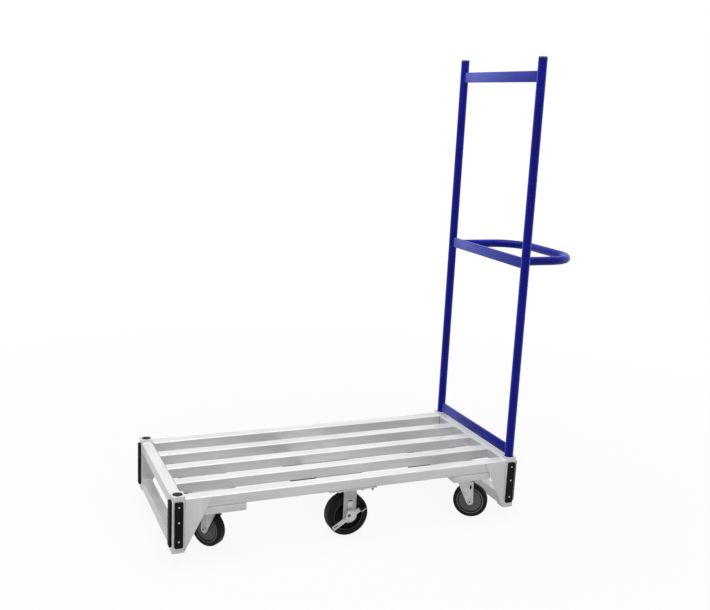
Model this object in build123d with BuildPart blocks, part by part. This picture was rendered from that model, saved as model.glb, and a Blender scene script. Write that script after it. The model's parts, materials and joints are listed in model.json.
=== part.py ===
from build123d import *
import os
from math import cos, radians, sin

# Six-wheel platform truck: an aluminium tube deck on four swivel casters and two fixed middle casters,
# with a blue ladder handle that stands in the sockets of the right-hand posts.
# Millimetres, +Z up, +X towards the handle, -Y towards the front. The origin is on the floor,
# at the middle of the box round the whole truck.

# Corner posts
post_pitch_x = 1240.0
post_pitch_y = 535.0
post_size = 42.0
post_corner = 4.0
post_bottom = 42.0
post_top = 238.0
post_foot_thickness = 4.0
socket_bore = 33.4

# Deck tubes
deck_top = 226.0
rail_height = 38.0
rail_width = 45.0
rail_wall = 3.0
rail_corner = 4.0
end_rail_width = 38.0
inner_bar_pitch = 131.5
toe_bar_size = 38.0
toe_bar_lift = 3.0

# Gusset plates
gusset_thickness = 3.0
gusset_reach = 92.0
gusset_foot_lift = 4.0

# Caster channels and middle cross plate
channel_width = 150.0
channel_depth = 25.0
channel_wall = 4.0
cross_plate_length = 176.0
cross_plate_thickness = 4.0
middle_shift = -11.5

# Bumpers
bumper_width = 28.0
bumper_height = 158.0
bumper_thickness = 8.0
bumper_corner = 5.0
bumper_edge = 2.0
bumper_lift = 20.0
bumper_screw_heights = (23.0, 88.5, 141.0)
bumper_screw_diameter = 5.0
bumper_screw_head_diameter = 7.5
bumper_screw_head_height = 2.0
bumper_screw_head_edge = 1.2
counterbore_diameter = 9.5
counterbore_depth = 3.0

# Handle
tube_diameter = 31.75
tube_wall = 2.0
tube_seat_gap = 0.3
tube_top = 1674.0
cap_dome_height = 5.0
cap_dome_edge = 4.0
cap_plug_depth = 15.0
cap_plug_gap = 0.1
cross_bar_height = 38.0
cross_bar_thickness = 9.5
bottom_bar_lift = 2.0
middle_bar_centre = 961.0
top_bar_drop = 62.0
loop_half_width = 215.0
loop_reach = 269.5
loop_bend_radius = 120.0

# Corner casters
caster_inset_x = 155.0
caster_shift = -4.5
caster_pitch_y = 409.0
caster_trail = 40.0
plate_length = 114.0
plate_width = 102.0
plate_thickness = 5.0
plate_corner = 8.0
plate_bolt_pitch_x = 86.0
plate_bolt_pitch_y = 74.0
race_diameter = 60.0
upper_race_height = 6.0
lower_race_height = 8.7
race_edge = 2.0
race_gap = 0.3
kingpin_diameter = 12.0
kingpin_nut_size = 19.0
kingpin_nut_height = 8.0
crown_thickness = 5.0
leg_thickness = 4.0
leg_gap = 3.0
leg_top_width = 59.5
leg_top_overhang = 9.0
leg_end_radius = 13.0
leg_slot_length = 16.0
leg_slot_width = 7.0
leg_slot_rise = 57.0
corner_wheel_diameter = 127.0
corner_wheel_width = 32.0
corner_rim_diameter = 100.0
corner_hub_diameter = 34.0
corner_web_thickness = 24.0

# Middle casters
middle_caster_pitch_y = 453.0
middle_plate_length = 114.0
middle_plate_width = 100.0
middle_leg_width = 48.0
middle_leg_thickness = 5.0
middle_leg_gap = 3.0
middle_rib_width = 18.0
middle_rib_height = 24.0
middle_rib_rise = 33.0
middle_rib_thickness = 1.5
middle_slot_height = 4.0
middle_wheel_diameter = 152.4
middle_wheel_width = 51.0
middle_rim_diameter = 112.0
middle_hub_diameter = 44.0
middle_web_thickness = 14.0

# Axles and running fits
axle_diameter = 10.0
sleeve_diameter = 16.0
rivet_head_diameter = 18.0
rivet_head_height = 3.0
rivet_tip_diameter = 11.0
rivet_tip_height = 1.5
axle_nut_size = 17.0
axle_nut_height = 8.0
running_clearance = 0.05
side_clearance = 0.5

# Tyres and wheel cores
tyre_edge = 7.0
rim_inset = 2.0
rim_lip = 5.0

# Bolts
bolt_diameter = 8.0
bolt_head_size = 13.0
bolt_head_height = 5.5
rail_bolt_inset_x = 10.0
rail_bolt_inset_y = 13.0
rail_bolt_tail = 9.0
rail_bolt_tip_diameter = 3.0

# Brake levers
lever_tilt = 32.0
lever_thickness = 3.0
lever_width = 16.5
lever_long_arm = 72.0
lever_short_arm = 66.0
lever_hub_diameter = 44.0
lever_hub_ahead = 4.5
lever_hub_rise = 6.0
lever_boss_diameter = 40.0
lever_boss_height = 12.0
lever_boss_wall = 2.0
lever_boss_opening = 12.0
lever_boss_opening_back = 5.0
lever_boss_opening_rise = 6.5
lever_tab_length = 22.0
lever_tab_depth = 9.0
lever_pad_thickness = 10.0
lever_pad_edge = 2.0

# Rest directions of the corner casters: the way each wheel trails behind its kingpin
trail_angles = {"front_left": 125.0, "front_right": -36.0, "rear_left": -125.0, "rear_right": 0.0}

# Heights worked out from the sizes above
deck_bottom = deck_top - rail_height
channel_bottom = deck_bottom - channel_depth
plate_bottom = channel_bottom - plate_thickness
upper_race_bottom = plate_bottom - upper_race_height
lower_race_top = upper_race_bottom - race_gap
crown_top = lower_race_top - lower_race_height
crown_bottom = crown_top - crown_thickness
kingpin_nut_top = crown_bottom - race_gap
corner_axle_height = corner_wheel_diameter / 2
cross_plate_bottom = deck_bottom - cross_plate_thickness
middle_plate_bottom = cross_plate_bottom - plate_thickness
middle_axle_height = middle_wheel_diameter / 2
socket_floor = post_bottom + post_foot_thickness
bumper_bottom = post_bottom + bumper_lift

# Plan places worked out from the sizes above
half_pitch_x = post_pitch_x / 2
half_pitch_y = post_pitch_y / 2
left_reach = half_pitch_x + post_size / 2 + bumper_thickness
right_reach = half_pitch_x + loop_reach + tube_diameter / 2
deck_x = (left_reach - right_reach) / 2
handle_x = deck_x + half_pitch_x
middle_x = deck_x + middle_shift
post_inner_x = half_pitch_x - post_size / 2
post_inner_y = half_pitch_y - post_size / 2
post_outer_x = half_pitch_x + post_size / 2
post_outer_y = half_pitch_y + post_size / 2
rail_outer_y = post_outer_y - gusset_thickness
caster_x = half_pitch_x - caster_inset_x
caster_y = caster_pitch_y / 2
middle_caster_y = middle_caster_pitch_y / 2
ends = {"left": -1, "right": 1}
sides = {"front": -1, "rear": 1}
caster_columns = {end: deck_x + caster_shift + sign * caster_x for end, sign in ends.items()}
mid_deck = Plane.YZ.offset(deck_x)

os.makedirs("parts", exist_ok=True)


def save(piece, name):
    """Label a finished piece and write it to its own file."""
    piece.part.label = name
    export_step(piece.part, f"parts/{name}.step")


def tube_section(width, height):
    """Draw a rectangular tube's rounded wall, round the current location."""
    RectangleRounded(width, height, rail_corner)
    inner_corner = rail_corner - rail_wall
    RectangleRounded(width - 2 * rail_wall, height - 2 * rail_wall, inner_corner, mode=Mode.SUBTRACT)


def deck_tube(name, y, half_length):
    """Make a deck tube that runs along the truck."""
    with BuildPart() as tube:
        with BuildSketch(mid_deck):
            with Locations((y, deck_top - rail_height / 2)):
                tube_section(rail_width, rail_height)
        extrude(amount=half_length, both=True)
    save(tube, name)


def cross_tube(name, x, width, height, top):
    """Make a tube that runs across the truck between two posts."""
    with BuildPart() as tube:
        with BuildSketch(Plane.XZ):
            with Locations((x, top - height / 2)):
                tube_section(width, height)
        extrude(amount=post_inner_y, both=True)
    save(tube, name)


# Deck tubes
side_rail_y = rail_outer_y - rail_width / 2
end_rail_inner_x = half_pitch_x - end_rail_width / 2
for side, sign in sides.items():
    deck_tube(f"{side}_side_rail", sign * side_rail_y, post_inner_x)
    deck_tube(f"{side}_inner_bar", sign * inner_bar_pitch, end_rail_inner_x)
deck_tube("middle_inner_bar", 0, end_rail_inner_x)
for end, sign in ends.items():
    end_x = deck_x + sign * half_pitch_x
    cross_tube(f"{end}_end_rail", end_x, end_rail_width, rail_height, deck_top)
    toe_bar_top = post_bottom + toe_bar_lift + toe_bar_size
    cross_tube(f"{end}_toe_bar", end_x, toe_bar_size, toe_bar_size, toe_bar_top)

# Corner posts and their foot plates
post_points = []
for side, side_sign in sides.items():
    for end, end_sign in ends.items():
        point = (deck_x + end_sign * half_pitch_x, side_sign * half_pitch_y)
        post_points.append(point)
        with BuildPart() as post:
            with BuildSketch(Plane.XY.offset(socket_floor)):
                with Locations(point):
                    RectangleRounded(post_size, post_size, post_corner)
                    Circle(socket_bore / 2, mode=Mode.SUBTRACT)
            extrude(amount=post_top - socket_floor)
        save(post, f"{side}_{end}_post")

with BuildPart() as post_feet:
    with BuildSketch(Plane.XY.offset(post_bottom)):
        with Locations(*post_points):
            RectangleRounded(post_size, post_size, post_corner)
    extrude(amount=post_foot_thickness)
save(post_feet, "post_feet")

# Gusset plates, a pair at each end
gusset_foot = post_bottom + gusset_foot_lift
for end, sign in ends.items():
    corner_x = deck_x + sign * post_inner_x
    tip_x = deck_x + sign * (post_inner_x - gusset_reach)
    with BuildPart() as gussets:
        with BuildSketch(Plane.XZ.offset(rail_outer_y)):
            with BuildLine():
                Polyline((corner_x, deck_top), (tip_x, deck_top), (corner_x, gusset_foot), close=True)
            make_face()
        extrude(amount=gusset_thickness)
        mirror(about=Plane.XZ)
    save(gussets, f"{end}_gussets")

# U channels under the deck, web downwards and ends closed, and the cross plate for the middle casters
plate_bolt_points = []
for x in (-plate_bolt_pitch_x / 2, plate_bolt_pitch_x / 2):
    for y in (-plate_bolt_pitch_y / 2, plate_bolt_pitch_y / 2):
        plate_bolt_points.append((x, y))


def bolt_points(centre_x, centre_y):
    """List the bolt places of a caster plate centred on a point."""
    return [(centre_x + x, centre_y + y) for x, y in plate_bolt_points]


for end, channel_x in caster_columns.items():
    cavity_depth = channel_depth - channel_wall
    with BuildPart() as channel:
        with BuildSketch(Plane.XZ):
            with Locations((channel_x, channel_bottom + channel_depth / 2)):
                Rectangle(channel_width, channel_depth)
        extrude(amount=rail_outer_y, both=True)
        with BuildSketch(Plane.XZ):
            with Locations((channel_x, deck_bottom - cavity_depth / 2)):
                Rectangle(channel_width - 2 * channel_wall, cavity_depth)
        extrude(amount=rail_outer_y - channel_wall, both=True, mode=Mode.SUBTRACT)
        with BuildSketch(Plane.XY.offset(channel_bottom)):
            for side_sign in sides.values():
                with Locations(*bolt_points(channel_x, side_sign * caster_y)):
                    Circle(bolt_diameter / 2)
        extrude(amount=channel_wall, mode=Mode.SUBTRACT)
    save(channel, f"{end}_caster_channel")

rail_bolt_x = middle_x + cross_plate_length / 2 - rail_bolt_inset_x
rail_bolt_points = [(rail_bolt_x, sign * (rail_outer_y - rail_bolt_inset_y)) for sign in sides.values()]

with BuildPart() as middle_cross_plate:
    with BuildSketch(Plane.XY.offset(cross_plate_bottom)):
        with Locations((middle_x, 0)):
            Rectangle(cross_plate_length, 2 * rail_outer_y)
        for side_sign in sides.values():
            with Locations(*bolt_points(middle_x, side_sign * middle_caster_y)):
                Circle(bolt_diameter / 2, mode=Mode.SUBTRACT)
        with Locations(*rail_bolt_points):
            Circle(bolt_diameter / 2, mode=Mode.SUBTRACT)
    extrude(amount=cross_plate_thickness)
save(middle_cross_plate, "middle_cross_plate")

# Bumpers and their screws: on the posts' side faces, then on the end faces
post_columns = [deck_x - half_pitch_x, deck_x + half_pitch_x]
post_rows = [-half_pitch_y, half_pitch_y]
bumper_middle = bumper_bottom + bumper_height / 2
screw_levels = [bumper_bottom + height for height in bumper_screw_heights]
screw_seat = bumper_thickness - counterbore_depth


def bumper_set(name, face, columns, axis, outermost, opposite):
    """Make the bumpers on one flat side of the truck, and the same on the opposite side."""
    screw_points = [(column, level) for column in columns for level in screw_levels]
    with BuildPart() as bumpers:
        with BuildSketch(face):
            with Locations(*[(column, bumper_middle) for column in columns]):
                RectangleRounded(bumper_width, bumper_height, bumper_corner)
        extrude(amount=bumper_thickness)
        fillet(bumpers.edges().group_by(axis)[outermost], bumper_edge)
        with BuildSketch(face):
            with Locations(*screw_points):
                Circle(bumper_screw_diameter / 2)
        extrude(amount=bumper_thickness, mode=Mode.SUBTRACT)
        with BuildSketch(face.offset(screw_seat)):
            with Locations(*screw_points):
                Circle(counterbore_diameter / 2)
        extrude(amount=counterbore_depth, mode=Mode.SUBTRACT)
        mirror(about=opposite)
    save(bumpers, name)
    return screw_points


def bumper_screw_set(face, screw_points):
    """Make the screws of one flat side: shanks through the bumper and domed heads sunk in it."""
    with BuildPart() as screws:
        with BuildSketch(face):
            with Locations(*screw_points):
                Circle(bumper_screw_diameter / 2)
        extrude(amount=screw_seat)
        with BuildSketch(face.offset(screw_seat)):
            with Locations(*screw_points):
                Circle(bumper_screw_head_diameter / 2)
        extrude(amount=bumper_screw_head_height)
        head_edges = screws.edges().filter_by(GeomType.CIRCLE).group_by(SortBy.RADIUS)[-1]
        direction = Axis(face.origin, face.z_dir)
        fillet(head_edges.group_by(direction)[-1], bumper_screw_head_edge)
    return screws


front_face = Plane.XZ.offset(post_outer_y)
right_face = mid_deck.offset(post_outer_x)
side_points = bumper_set("side_bumpers", front_face, post_columns, Axis.Y, 0, Plane.XZ)
end_points = bumper_set("end_bumpers", right_face, post_rows, Axis.X, -1, mid_deck)
side_screws = bumper_screw_set(front_face, side_points)
end_screws = bumper_screw_set(right_face, end_points)
with BuildPart() as bumper_screws:
    add(side_screws.part)
    mirror(side_screws.part, about=Plane.XZ)
    add(end_screws.part)
    mirror(end_screws.part, about=mid_deck)
save(bumper_screws, "bumper_screws")

# Corner caster plates, kingpins and all the plate bolts
caster_points = []
for caster_column in caster_columns.values():
    for side_sign in sides.values():
        caster_points.append((caster_column, side_sign * caster_y))

with BuildPart() as caster_plates:
    with BuildSketch(Plane.XY.offset(plate_bottom)):
        with Locations(*caster_points):
            RectangleRounded(plate_length, plate_width, plate_corner)
    extrude(amount=plate_thickness)
    with BuildSketch(Plane.XY.offset(plate_bottom)):
        with Locations(*caster_points):
            Circle(race_diameter / 2)
    extrude(amount=-upper_race_height)
    fillet(caster_plates.edges().group_by(Axis.Z)[0], race_edge)
    with BuildSketch(Plane.XY.offset(upper_race_bottom)):
        with Locations(*caster_points):
            Circle(kingpin_diameter / 2)
        for caster_point in caster_points:
            with Locations(*bolt_points(*caster_point)):
                Circle(bolt_diameter / 2)
    extrude(amount=upper_race_height + plate_thickness, mode=Mode.SUBTRACT)
save(caster_plates, "caster_plates")

with BuildPart() as kingpins:
    with BuildSketch(Plane.XY.offset(kingpin_nut_top)):
        with Locations(*caster_points):
            Circle(kingpin_diameter / 2)
    extrude(amount=channel_bottom - kingpin_nut_top)
    with BuildSketch(Plane.XY.offset(kingpin_nut_top)):
        with Locations(*caster_points):
            RegularPolygon(kingpin_nut_size / 2, 6, major_radius=False)
    extrude(amount=-kingpin_nut_height)
save(kingpins, "kingpins")


def plate_bolts(points, seat, grip):
    """Make bolts whose heads hang below a seat and whose shanks fill the grip above it."""
    with BuildSketch(Plane.XY.offset(seat)) as shanks:
        with Locations(*points):
            Circle(bolt_diameter / 2)
    extrude(shanks.sketch, amount=grip)
    with BuildSketch(Plane.XY.offset(seat)) as heads:
        with Locations(*points):
            RegularPolygon(bolt_head_size / 2, 6, major_radius=False)
    extrude(heads.sketch, amount=-bolt_head_height)


corner_bolt_points = []
for caster_point in caster_points:
    corner_bolt_points += bolt_points(*caster_point)
middle_bolt_points = []
for side_sign in sides.values():
    middle_bolt_points += bolt_points(middle_x, side_sign * middle_caster_y)

with BuildPart() as caster_bolts:
    plate_bolts(corner_bolt_points, plate_bottom, plate_thickness + channel_wall)
    plate_bolts(middle_bolt_points, middle_plate_bottom, plate_thickness + cross_plate_thickness)
    plate_bolts(rail_bolt_points, cross_plate_bottom, cross_plate_thickness)
    rail_bolt_end = cross_plate_bottom - bolt_head_height
    for rail_bolt_point in rail_bolt_points:
        with BuildSketch(Plane.XY.offset(rail_bolt_end)) as tail_root:
            with Locations(rail_bolt_point):
                Circle(bolt_head_size / 2)
        with BuildSketch(Plane.XY.offset(rail_bolt_end - rail_bolt_tail)) as tail_tip:
            with Locations(rail_bolt_point):
                Circle(rail_bolt_tip_diameter / 2)
        loft([tail_root.sketch, tail_tip.sketch])
    with BuildSketch(Plane.XY.offset(channel_bottom + channel_wall)):
        with Locations(*corner_bolt_points):
            RegularPolygon(bolt_head_size / 2, 6, major_radius=False)
    extrude(amount=bolt_head_height)
save(caster_bolts, "caster_bolts")


def wheel_core(name, hub_frame, width, rim_diameter, hub_diameter, hub_length, web_thickness):
    """Make a moulded wheel centre: bored hub, web and rim, turned about the axle."""
    bore = sleeve_diameter / 2 + running_clearance
    rim = rim_diameter / 2
    rim_half = width / 2 - rim_inset
    rim_inner = rim - rim_lip
    web_half = web_thickness / 2
    hub_half = hub_length / 2
    with BuildPart() as core:
        with BuildSketch(hub_frame):
            with BuildLine():
                Polyline(
                    (bore, -hub_half),
                    (hub_diameter / 2, -hub_half),
                    (hub_diameter / 2, -web_half),
                    (rim_inner, -web_half),
                    (rim_inner, -rim_half),
                    (rim, -rim_half),
                    (rim, rim_half),
                    (rim_inner, rim_half),
                    (rim_inner, web_half),
                    (hub_diameter / 2, web_half),
                    (hub_diameter / 2, hub_half),
                    (bore, hub_half),
                    close=True,
                )
            make_face()
        revolve(axis=Axis(hub_frame.origin, hub_frame.y_dir))
    save(core, name)


def tyre(name, hub_frame, diameter, width, rim_diameter):
    """Make a solid tyre with rounded shoulders, seated on its rim."""
    depth = (diameter - rim_diameter) / 2
    with BuildPart() as ring:
        with BuildSketch(hub_frame) as section:
            with Locations((rim_diameter / 2 + depth / 2, 0)):
                Rectangle(depth, width)
            fillet(section.vertices().group_by(Axis.X)[-1], tyre_edge)
        revolve(axis=Axis(hub_frame.origin, hub_frame.y_dir))
    save(ring, name)


def axle_sleeve(axle_frame, half_length):
    """Make the spanner sleeve that a wheel turns on, apart from the axle's own bar."""
    with BuildPart() as sleeve:
        with BuildSketch(axle_frame):
            Circle(sleeve_diameter / 2)
            Circle(axle_diameter / 2, mode=Mode.SUBTRACT)
        extrude(amount=half_length, both=True)
    return sleeve.part


def corner_caster(name, kingpin_x, side_sign, trail_angle):
    """Make the swivelling half of a corner caster, turned to its rest direction."""
    kingpin_y = side_sign * caster_y
    ahead = Vector(cos(radians(trail_angle)), sin(radians(trail_angle)), 0)
    swivel = Plane(origin=(kingpin_x, kingpin_y, 0), x_dir=ahead, z_dir=(0, 0, 1))
    wheel_plane = Plane(origin=swivel.origin, x_dir=ahead, z_dir=-swivel.y_dir)
    leg_inner = corner_wheel_width / 2 + leg_gap
    leg_outer = leg_inner + leg_thickness
    leg_top_middle = caster_trail + leg_top_overhang - leg_top_width / 2

    with BuildPart() as fork:
        with BuildSketch(wheel_plane.offset(leg_inner)):
            with Locations((caster_trail, corner_axle_height)):
                Circle(leg_end_radius)
            with Locations((leg_top_middle, crown_top - crown_thickness / 2)):
                Rectangle(leg_top_width, crown_thickness)
            make_hull()
            with Locations((caster_trail, corner_axle_height)):
                Circle(axle_diameter / 2, mode=Mode.SUBTRACT)
            with Locations((caster_trail, corner_axle_height + leg_slot_rise)):
                SlotOverall(leg_slot_length, leg_slot_width, rotation=90, mode=Mode.SUBTRACT)
        extrude(amount=leg_thickness)
        mirror(about=wheel_plane)
        with BuildSketch(swivel.offset(crown_bottom)):
            Circle(race_diameter / 2)
            with Locations((leg_top_middle, 0)):
                Rectangle(leg_top_width, 2 * leg_outer)
        extrude(amount=crown_thickness)
        with BuildSketch(swivel.offset(crown_top)):
            Circle(race_diameter / 2)
        extrude(amount=lower_race_height)
        fillet(fork.edges().group_by(Axis.Z)[-1], race_edge)
        with BuildSketch(swivel.offset(crown_bottom)):
            Circle(kingpin_diameter / 2 + running_clearance)
        extrude(amount=crown_thickness + lower_race_height, mode=Mode.SUBTRACT)
    save(fork, f"{name}_fork")

    wheel_centre = swivel.from_local_coords((caster_trail, 0, corner_axle_height))
    axle_frame = Plane(origin=wheel_centre, x_dir=ahead, z_dir=swivel.y_dir)
    with BuildPart() as axle:
        with BuildSketch(axle_frame):
            Circle(axle_diameter / 2)
        extrude(amount=leg_outer)
        with BuildSketch(axle_frame.offset(leg_outer)):
            Circle(rivet_head_diameter / 2)
        extrude(amount=rivet_head_height)
        with BuildSketch(axle_frame.offset(leg_outer + rivet_head_height)):
            Circle(rivet_tip_diameter / 2)
        extrude(amount=rivet_tip_height)
        mirror(about=wheel_plane)
    sleeve = axle_sleeve(axle_frame, leg_inner)
    axle_set = Compound(children=[*axle.part.solids(), *sleeve.solids()], label=f"{name}_axle")
    export_step(axle_set, f"parts/{name}_axle.step")

    up = Vector(0, 0, 1)
    hub_frame = Plane(origin=wheel_centre, x_dir=up, z_dir=up.cross(swivel.y_dir))
    hub_length = 2 * (leg_inner - side_clearance)
    wheel_core(
        f"{name}_wheel_core",
        hub_frame,
        corner_wheel_width,
        corner_rim_diameter,
        corner_hub_diameter,
        hub_length,
        corner_web_thickness,
    )
    tyre(f"{name}_tyre", hub_frame, corner_wheel_diameter, corner_wheel_width, corner_rim_diameter)


for side, side_sign in sides.items():
    for end, caster_column in caster_columns.items():
        corner = f"{side}_{end}"
        corner_caster(corner, caster_column, side_sign, trail_angles[corner])


def middle_fork(name, side_sign, wheel_plane):
    """Make a fixed fork: top plate, two straight legs, and a rib below a slot in the outer leg."""
    rib_top = middle_axle_height + middle_rib_rise + middle_rib_height
    with BuildPart() as fork:
        with BuildSketch(wheel_plane.offset(middle_leg_inner)):
            with Locations((0, middle_axle_height)):
                Circle(middle_leg_width / 2)
            with Locations((0, (middle_axle_height + middle_plate_bottom) / 2)):
                Rectangle(middle_leg_width, middle_plate_bottom - middle_axle_height)
            with Locations((0, middle_axle_height)):
                Circle(axle_diameter / 2, mode=Mode.SUBTRACT)
        extrude(amount=middle_leg_thickness)
        mirror(about=wheel_plane)
        with BuildSketch(wheel_plane.offset(middle_leg_outer)):
            with Locations((0, rib_top - middle_rib_height / 2)):
                Rectangle(middle_rib_width, middle_rib_height)
        extrude(amount=middle_rib_thickness)
        with BuildSketch(wheel_plane.offset(middle_leg_inner)):
            with Locations((0, rib_top + middle_slot_height / 2)):
                Rectangle(middle_rib_width, middle_slot_height)
        extrude(amount=middle_leg_thickness, mode=Mode.SUBTRACT)
        with BuildSketch(Plane.XY.offset(middle_plate_bottom)):
            with Locations((middle_x, side_sign * middle_caster_y)):
                RectangleRounded(middle_plate_length, middle_plate_width, plate_corner)
            with Locations(*bolt_points(middle_x, side_sign * middle_caster_y)):
                Circle(bolt_diameter / 2, mode=Mode.SUBTRACT)
        extrude(amount=plate_thickness)
    save(fork, name)


def brake_lever(side, side_sign):
    """Make a brake lever that tips on the middle axle, with an offset boss over the nut, and its pad."""
    lever_y = side_sign * (middle_caster_y + middle_leg_outer + side_clearance)
    arm = (cos(radians(lever_tilt)), 0, sin(radians(lever_tilt)))
    pivot = (middle_x, lever_y, middle_axle_height)
    face = Plane(origin=pivot, x_dir=arm, z_dir=(0, side_sign, 0))
    tab_face = face.offset(lever_thickness)
    tab_middle = lever_short_arm - lever_tab_length / 2
    tab_rise = (lever_thickness - lever_width) / 2
    pad_rise = lever_thickness + (lever_pad_thickness - lever_width) / 2
    hub_middle = (lever_hub_ahead, -side_sign * lever_hub_rise)
    opening_rise = lever_hub_rise + lever_boss_opening_rise
    opening_middle = (lever_hub_ahead - lever_boss_opening_back, -side_sign * opening_rise)
    with BuildPart() as lever:
        with BuildSketch(face):
            with Locations(hub_middle):
                Circle(lever_hub_diameter / 2)
            with Locations(((lever_short_arm - lever_long_arm) / 2, 0)):
                Rectangle(lever_short_arm + lever_long_arm, lever_width)
            Circle(axle_diameter / 2 + running_clearance, mode=Mode.SUBTRACT)
        extrude(amount=lever_thickness)
        with BuildSketch(tab_face):
            with Locations(hub_middle):
                Circle(lever_boss_diameter / 2)
                Circle(lever_boss_diameter / 2 - lever_boss_wall, mode=Mode.SUBTRACT)
        extrude(amount=lever_boss_height)
        with BuildSketch(tab_face.offset(lever_boss_height - lever_boss_wall)):
            with Locations(hub_middle):
                Circle(lever_boss_diameter / 2)
            with Locations(opening_middle):
                Circle(lever_boss_opening / 2, mode=Mode.SUBTRACT)
        extrude(amount=lever_boss_wall)
        with BuildSketch(tab_face):
            with Locations((tab_middle, -side_sign * tab_rise)):
                Rectangle(lever_tab_length, lever_thickness)
        extrude(amount=lever_tab_depth)
    save(lever, f"{side}_brake_lever")
    with BuildPart() as pad:
        with BuildSketch(tab_face):
            with Locations((tab_middle, -side_sign * pad_rise)):
                RectangleRounded(lever_tab_length, lever_pad_thickness, lever_pad_edge)
        extrude(amount=lever_tab_depth)
    save(pad, f"{side}_brake_pad")


# Middle casters: fixed forks, axles, wheels and brake levers
middle_leg_inner = middle_wheel_width / 2 + middle_leg_gap
middle_leg_outer = middle_leg_inner + middle_leg_thickness
middle_axle_end = middle_leg_outer + lever_thickness + 2 * side_clearance
middle_hub_length = 2 * (middle_leg_inner - side_clearance)
middle_axle_solids = []
for side, side_sign in sides.items():
    wheel_centre = (middle_x, side_sign * middle_caster_y, middle_axle_height)
    wheel_plane = Plane(
        origin=(middle_x, side_sign * middle_caster_y, 0),
        x_dir=(-side_sign, 0, 0),
        z_dir=(0, side_sign, 0),
    )
    middle_fork(f"{side}_middle_fork", side_sign, wheel_plane)
    axle_frame = Plane(origin=wheel_centre, x_dir=wheel_plane.x_dir, z_dir=wheel_plane.z_dir)
    with BuildPart() as middle_axle:
        with BuildSketch(axle_frame.offset(-middle_leg_outer)):
            Circle(axle_diameter / 2)
        extrude(amount=middle_leg_outer + middle_axle_end)
        with BuildSketch(axle_frame.offset(-middle_leg_outer)):
            RegularPolygon(axle_nut_size / 2, 6, major_radius=False)
        extrude(amount=-axle_nut_height)
        with BuildSketch(axle_frame.offset(middle_axle_end)):
            RegularPolygon(axle_nut_size / 2, 6, major_radius=False)
        extrude(amount=axle_nut_height)
    middle_axle_solids += middle_axle.part.solids()
    middle_axle_solids += axle_sleeve(axle_frame, middle_leg_inner).solids()
    hub_frame = Plane(origin=wheel_centre, x_dir=(0, 0, 1), z_dir=(-1, 0, 0))
    wheel_core(
        f"{side}_middle_wheel_core",
        hub_frame,
        middle_wheel_width,
        middle_rim_diameter,
        middle_hub_diameter,
        middle_hub_length,
        middle_web_thickness,
    )
    tyre(
        f"{side}_middle_tyre",
        hub_frame,
        middle_wheel_diameter,
        middle_wheel_width,
        middle_rim_diameter,
    )
    brake_lever(side, side_sign)
middle_axles = Compound(children=middle_axle_solids, label="middle_axles")
export_step(middle_axles, "parts/middle_axles.step")

# Handle: uprights, end caps, cross bars and push loop
upright_points = [(handle_x, sign * half_pitch_y) for sign in sides.values()]
upright_bottom = socket_floor + tube_seat_gap
for side, sign in sides.items():
    with BuildPart() as upright:
        with BuildSketch(Plane.XY.offset(upright_bottom)):
            with Locations((handle_x, sign * half_pitch_y)):
                Circle(tube_diameter / 2)
                Circle(tube_diameter / 2 - tube_wall, mode=Mode.SUBTRACT)
        extrude(amount=tube_top - upright_bottom)
    save(upright, f"{side}_upright")

with BuildPart() as upright_caps:
    with BuildSketch(Plane.XY.offset(tube_top)):
        with Locations(*upright_points):
            Circle(tube_diameter / 2)
    extrude(amount=cap_dome_height)
    fillet(upright_caps.edges().group_by(Axis.Z)[-1], cap_dome_edge)
    with BuildSketch(Plane.XY.offset(tube_top)):
        with Locations(*upright_points):
            Circle(tube_diameter / 2 - tube_wall - cap_plug_gap)
    extrude(amount=-cap_plug_depth)
save(upright_caps, "upright_caps")

bar_centres = {
    "bottom": post_top + bottom_bar_lift + cross_bar_height / 2,
    "middle": middle_bar_centre,
    "top": tube_top - top_bar_drop,
}
for level, centre in bar_centres.items():
    with BuildPart() as cross_bar:
        with BuildSketch(Plane.YZ.offset(handle_x)):
            with Locations((0, centre)):
                Rectangle(post_pitch_y, cross_bar_height)
        extrude(amount=cross_bar_thickness / 2, both=True)
        with BuildSketch(Plane.XY.offset(centre)):
            with Locations(*upright_points):
                Circle(tube_diameter / 2)
        extrude(amount=cross_bar_height / 2, both=True, mode=Mode.SUBTRACT)
    save(cross_bar, f"{level}_cross_bar")

loop_start_x = handle_x + cross_bar_thickness / 2
loop_end_x = handle_x + loop_reach
with BuildPart() as push_loop:
    with BuildLine(Plane.XY.offset(middle_bar_centre)):
        loop_line = FilletPolyline(
            (loop_start_x, -loop_half_width),
            (loop_end_x, -loop_half_width),
            (loop_end_x, loop_half_width),
            (loop_start_x, loop_half_width),
            radius=loop_bend_radius,
        )
    with BuildSketch(Plane(origin=loop_line @ 0, z_dir=loop_line % 0)):
        Circle(tube_diameter / 2)
        Circle(tube_diameter / 2 - tube_wall, mode=Mode.SUBTRACT)
    sweep()
save(push_loop, "push_loop")
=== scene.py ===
"""Finishes and fine pieces of a six-wheel platform truck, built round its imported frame."""

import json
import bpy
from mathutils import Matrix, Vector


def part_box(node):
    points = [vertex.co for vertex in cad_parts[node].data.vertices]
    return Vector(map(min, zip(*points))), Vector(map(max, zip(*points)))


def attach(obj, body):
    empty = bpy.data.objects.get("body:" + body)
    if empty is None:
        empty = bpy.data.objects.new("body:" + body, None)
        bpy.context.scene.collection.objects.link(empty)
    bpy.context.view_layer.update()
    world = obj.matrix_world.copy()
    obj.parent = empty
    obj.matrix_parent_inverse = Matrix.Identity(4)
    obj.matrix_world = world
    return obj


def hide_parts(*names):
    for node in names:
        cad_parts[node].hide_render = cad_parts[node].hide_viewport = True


bl_info = {
    "name": "Platform truck",
    "version": (1, 0, 0),
    "blender": (4, 5, 0),
    "location": "View3D > Sidebar > Truck",
    "description": "Dresses a six-wheel platform truck with its finishes, wheels, welds and fasteners",
    "category": "Object",
}

from math import cos, inf, pi, radians, sin

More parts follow.
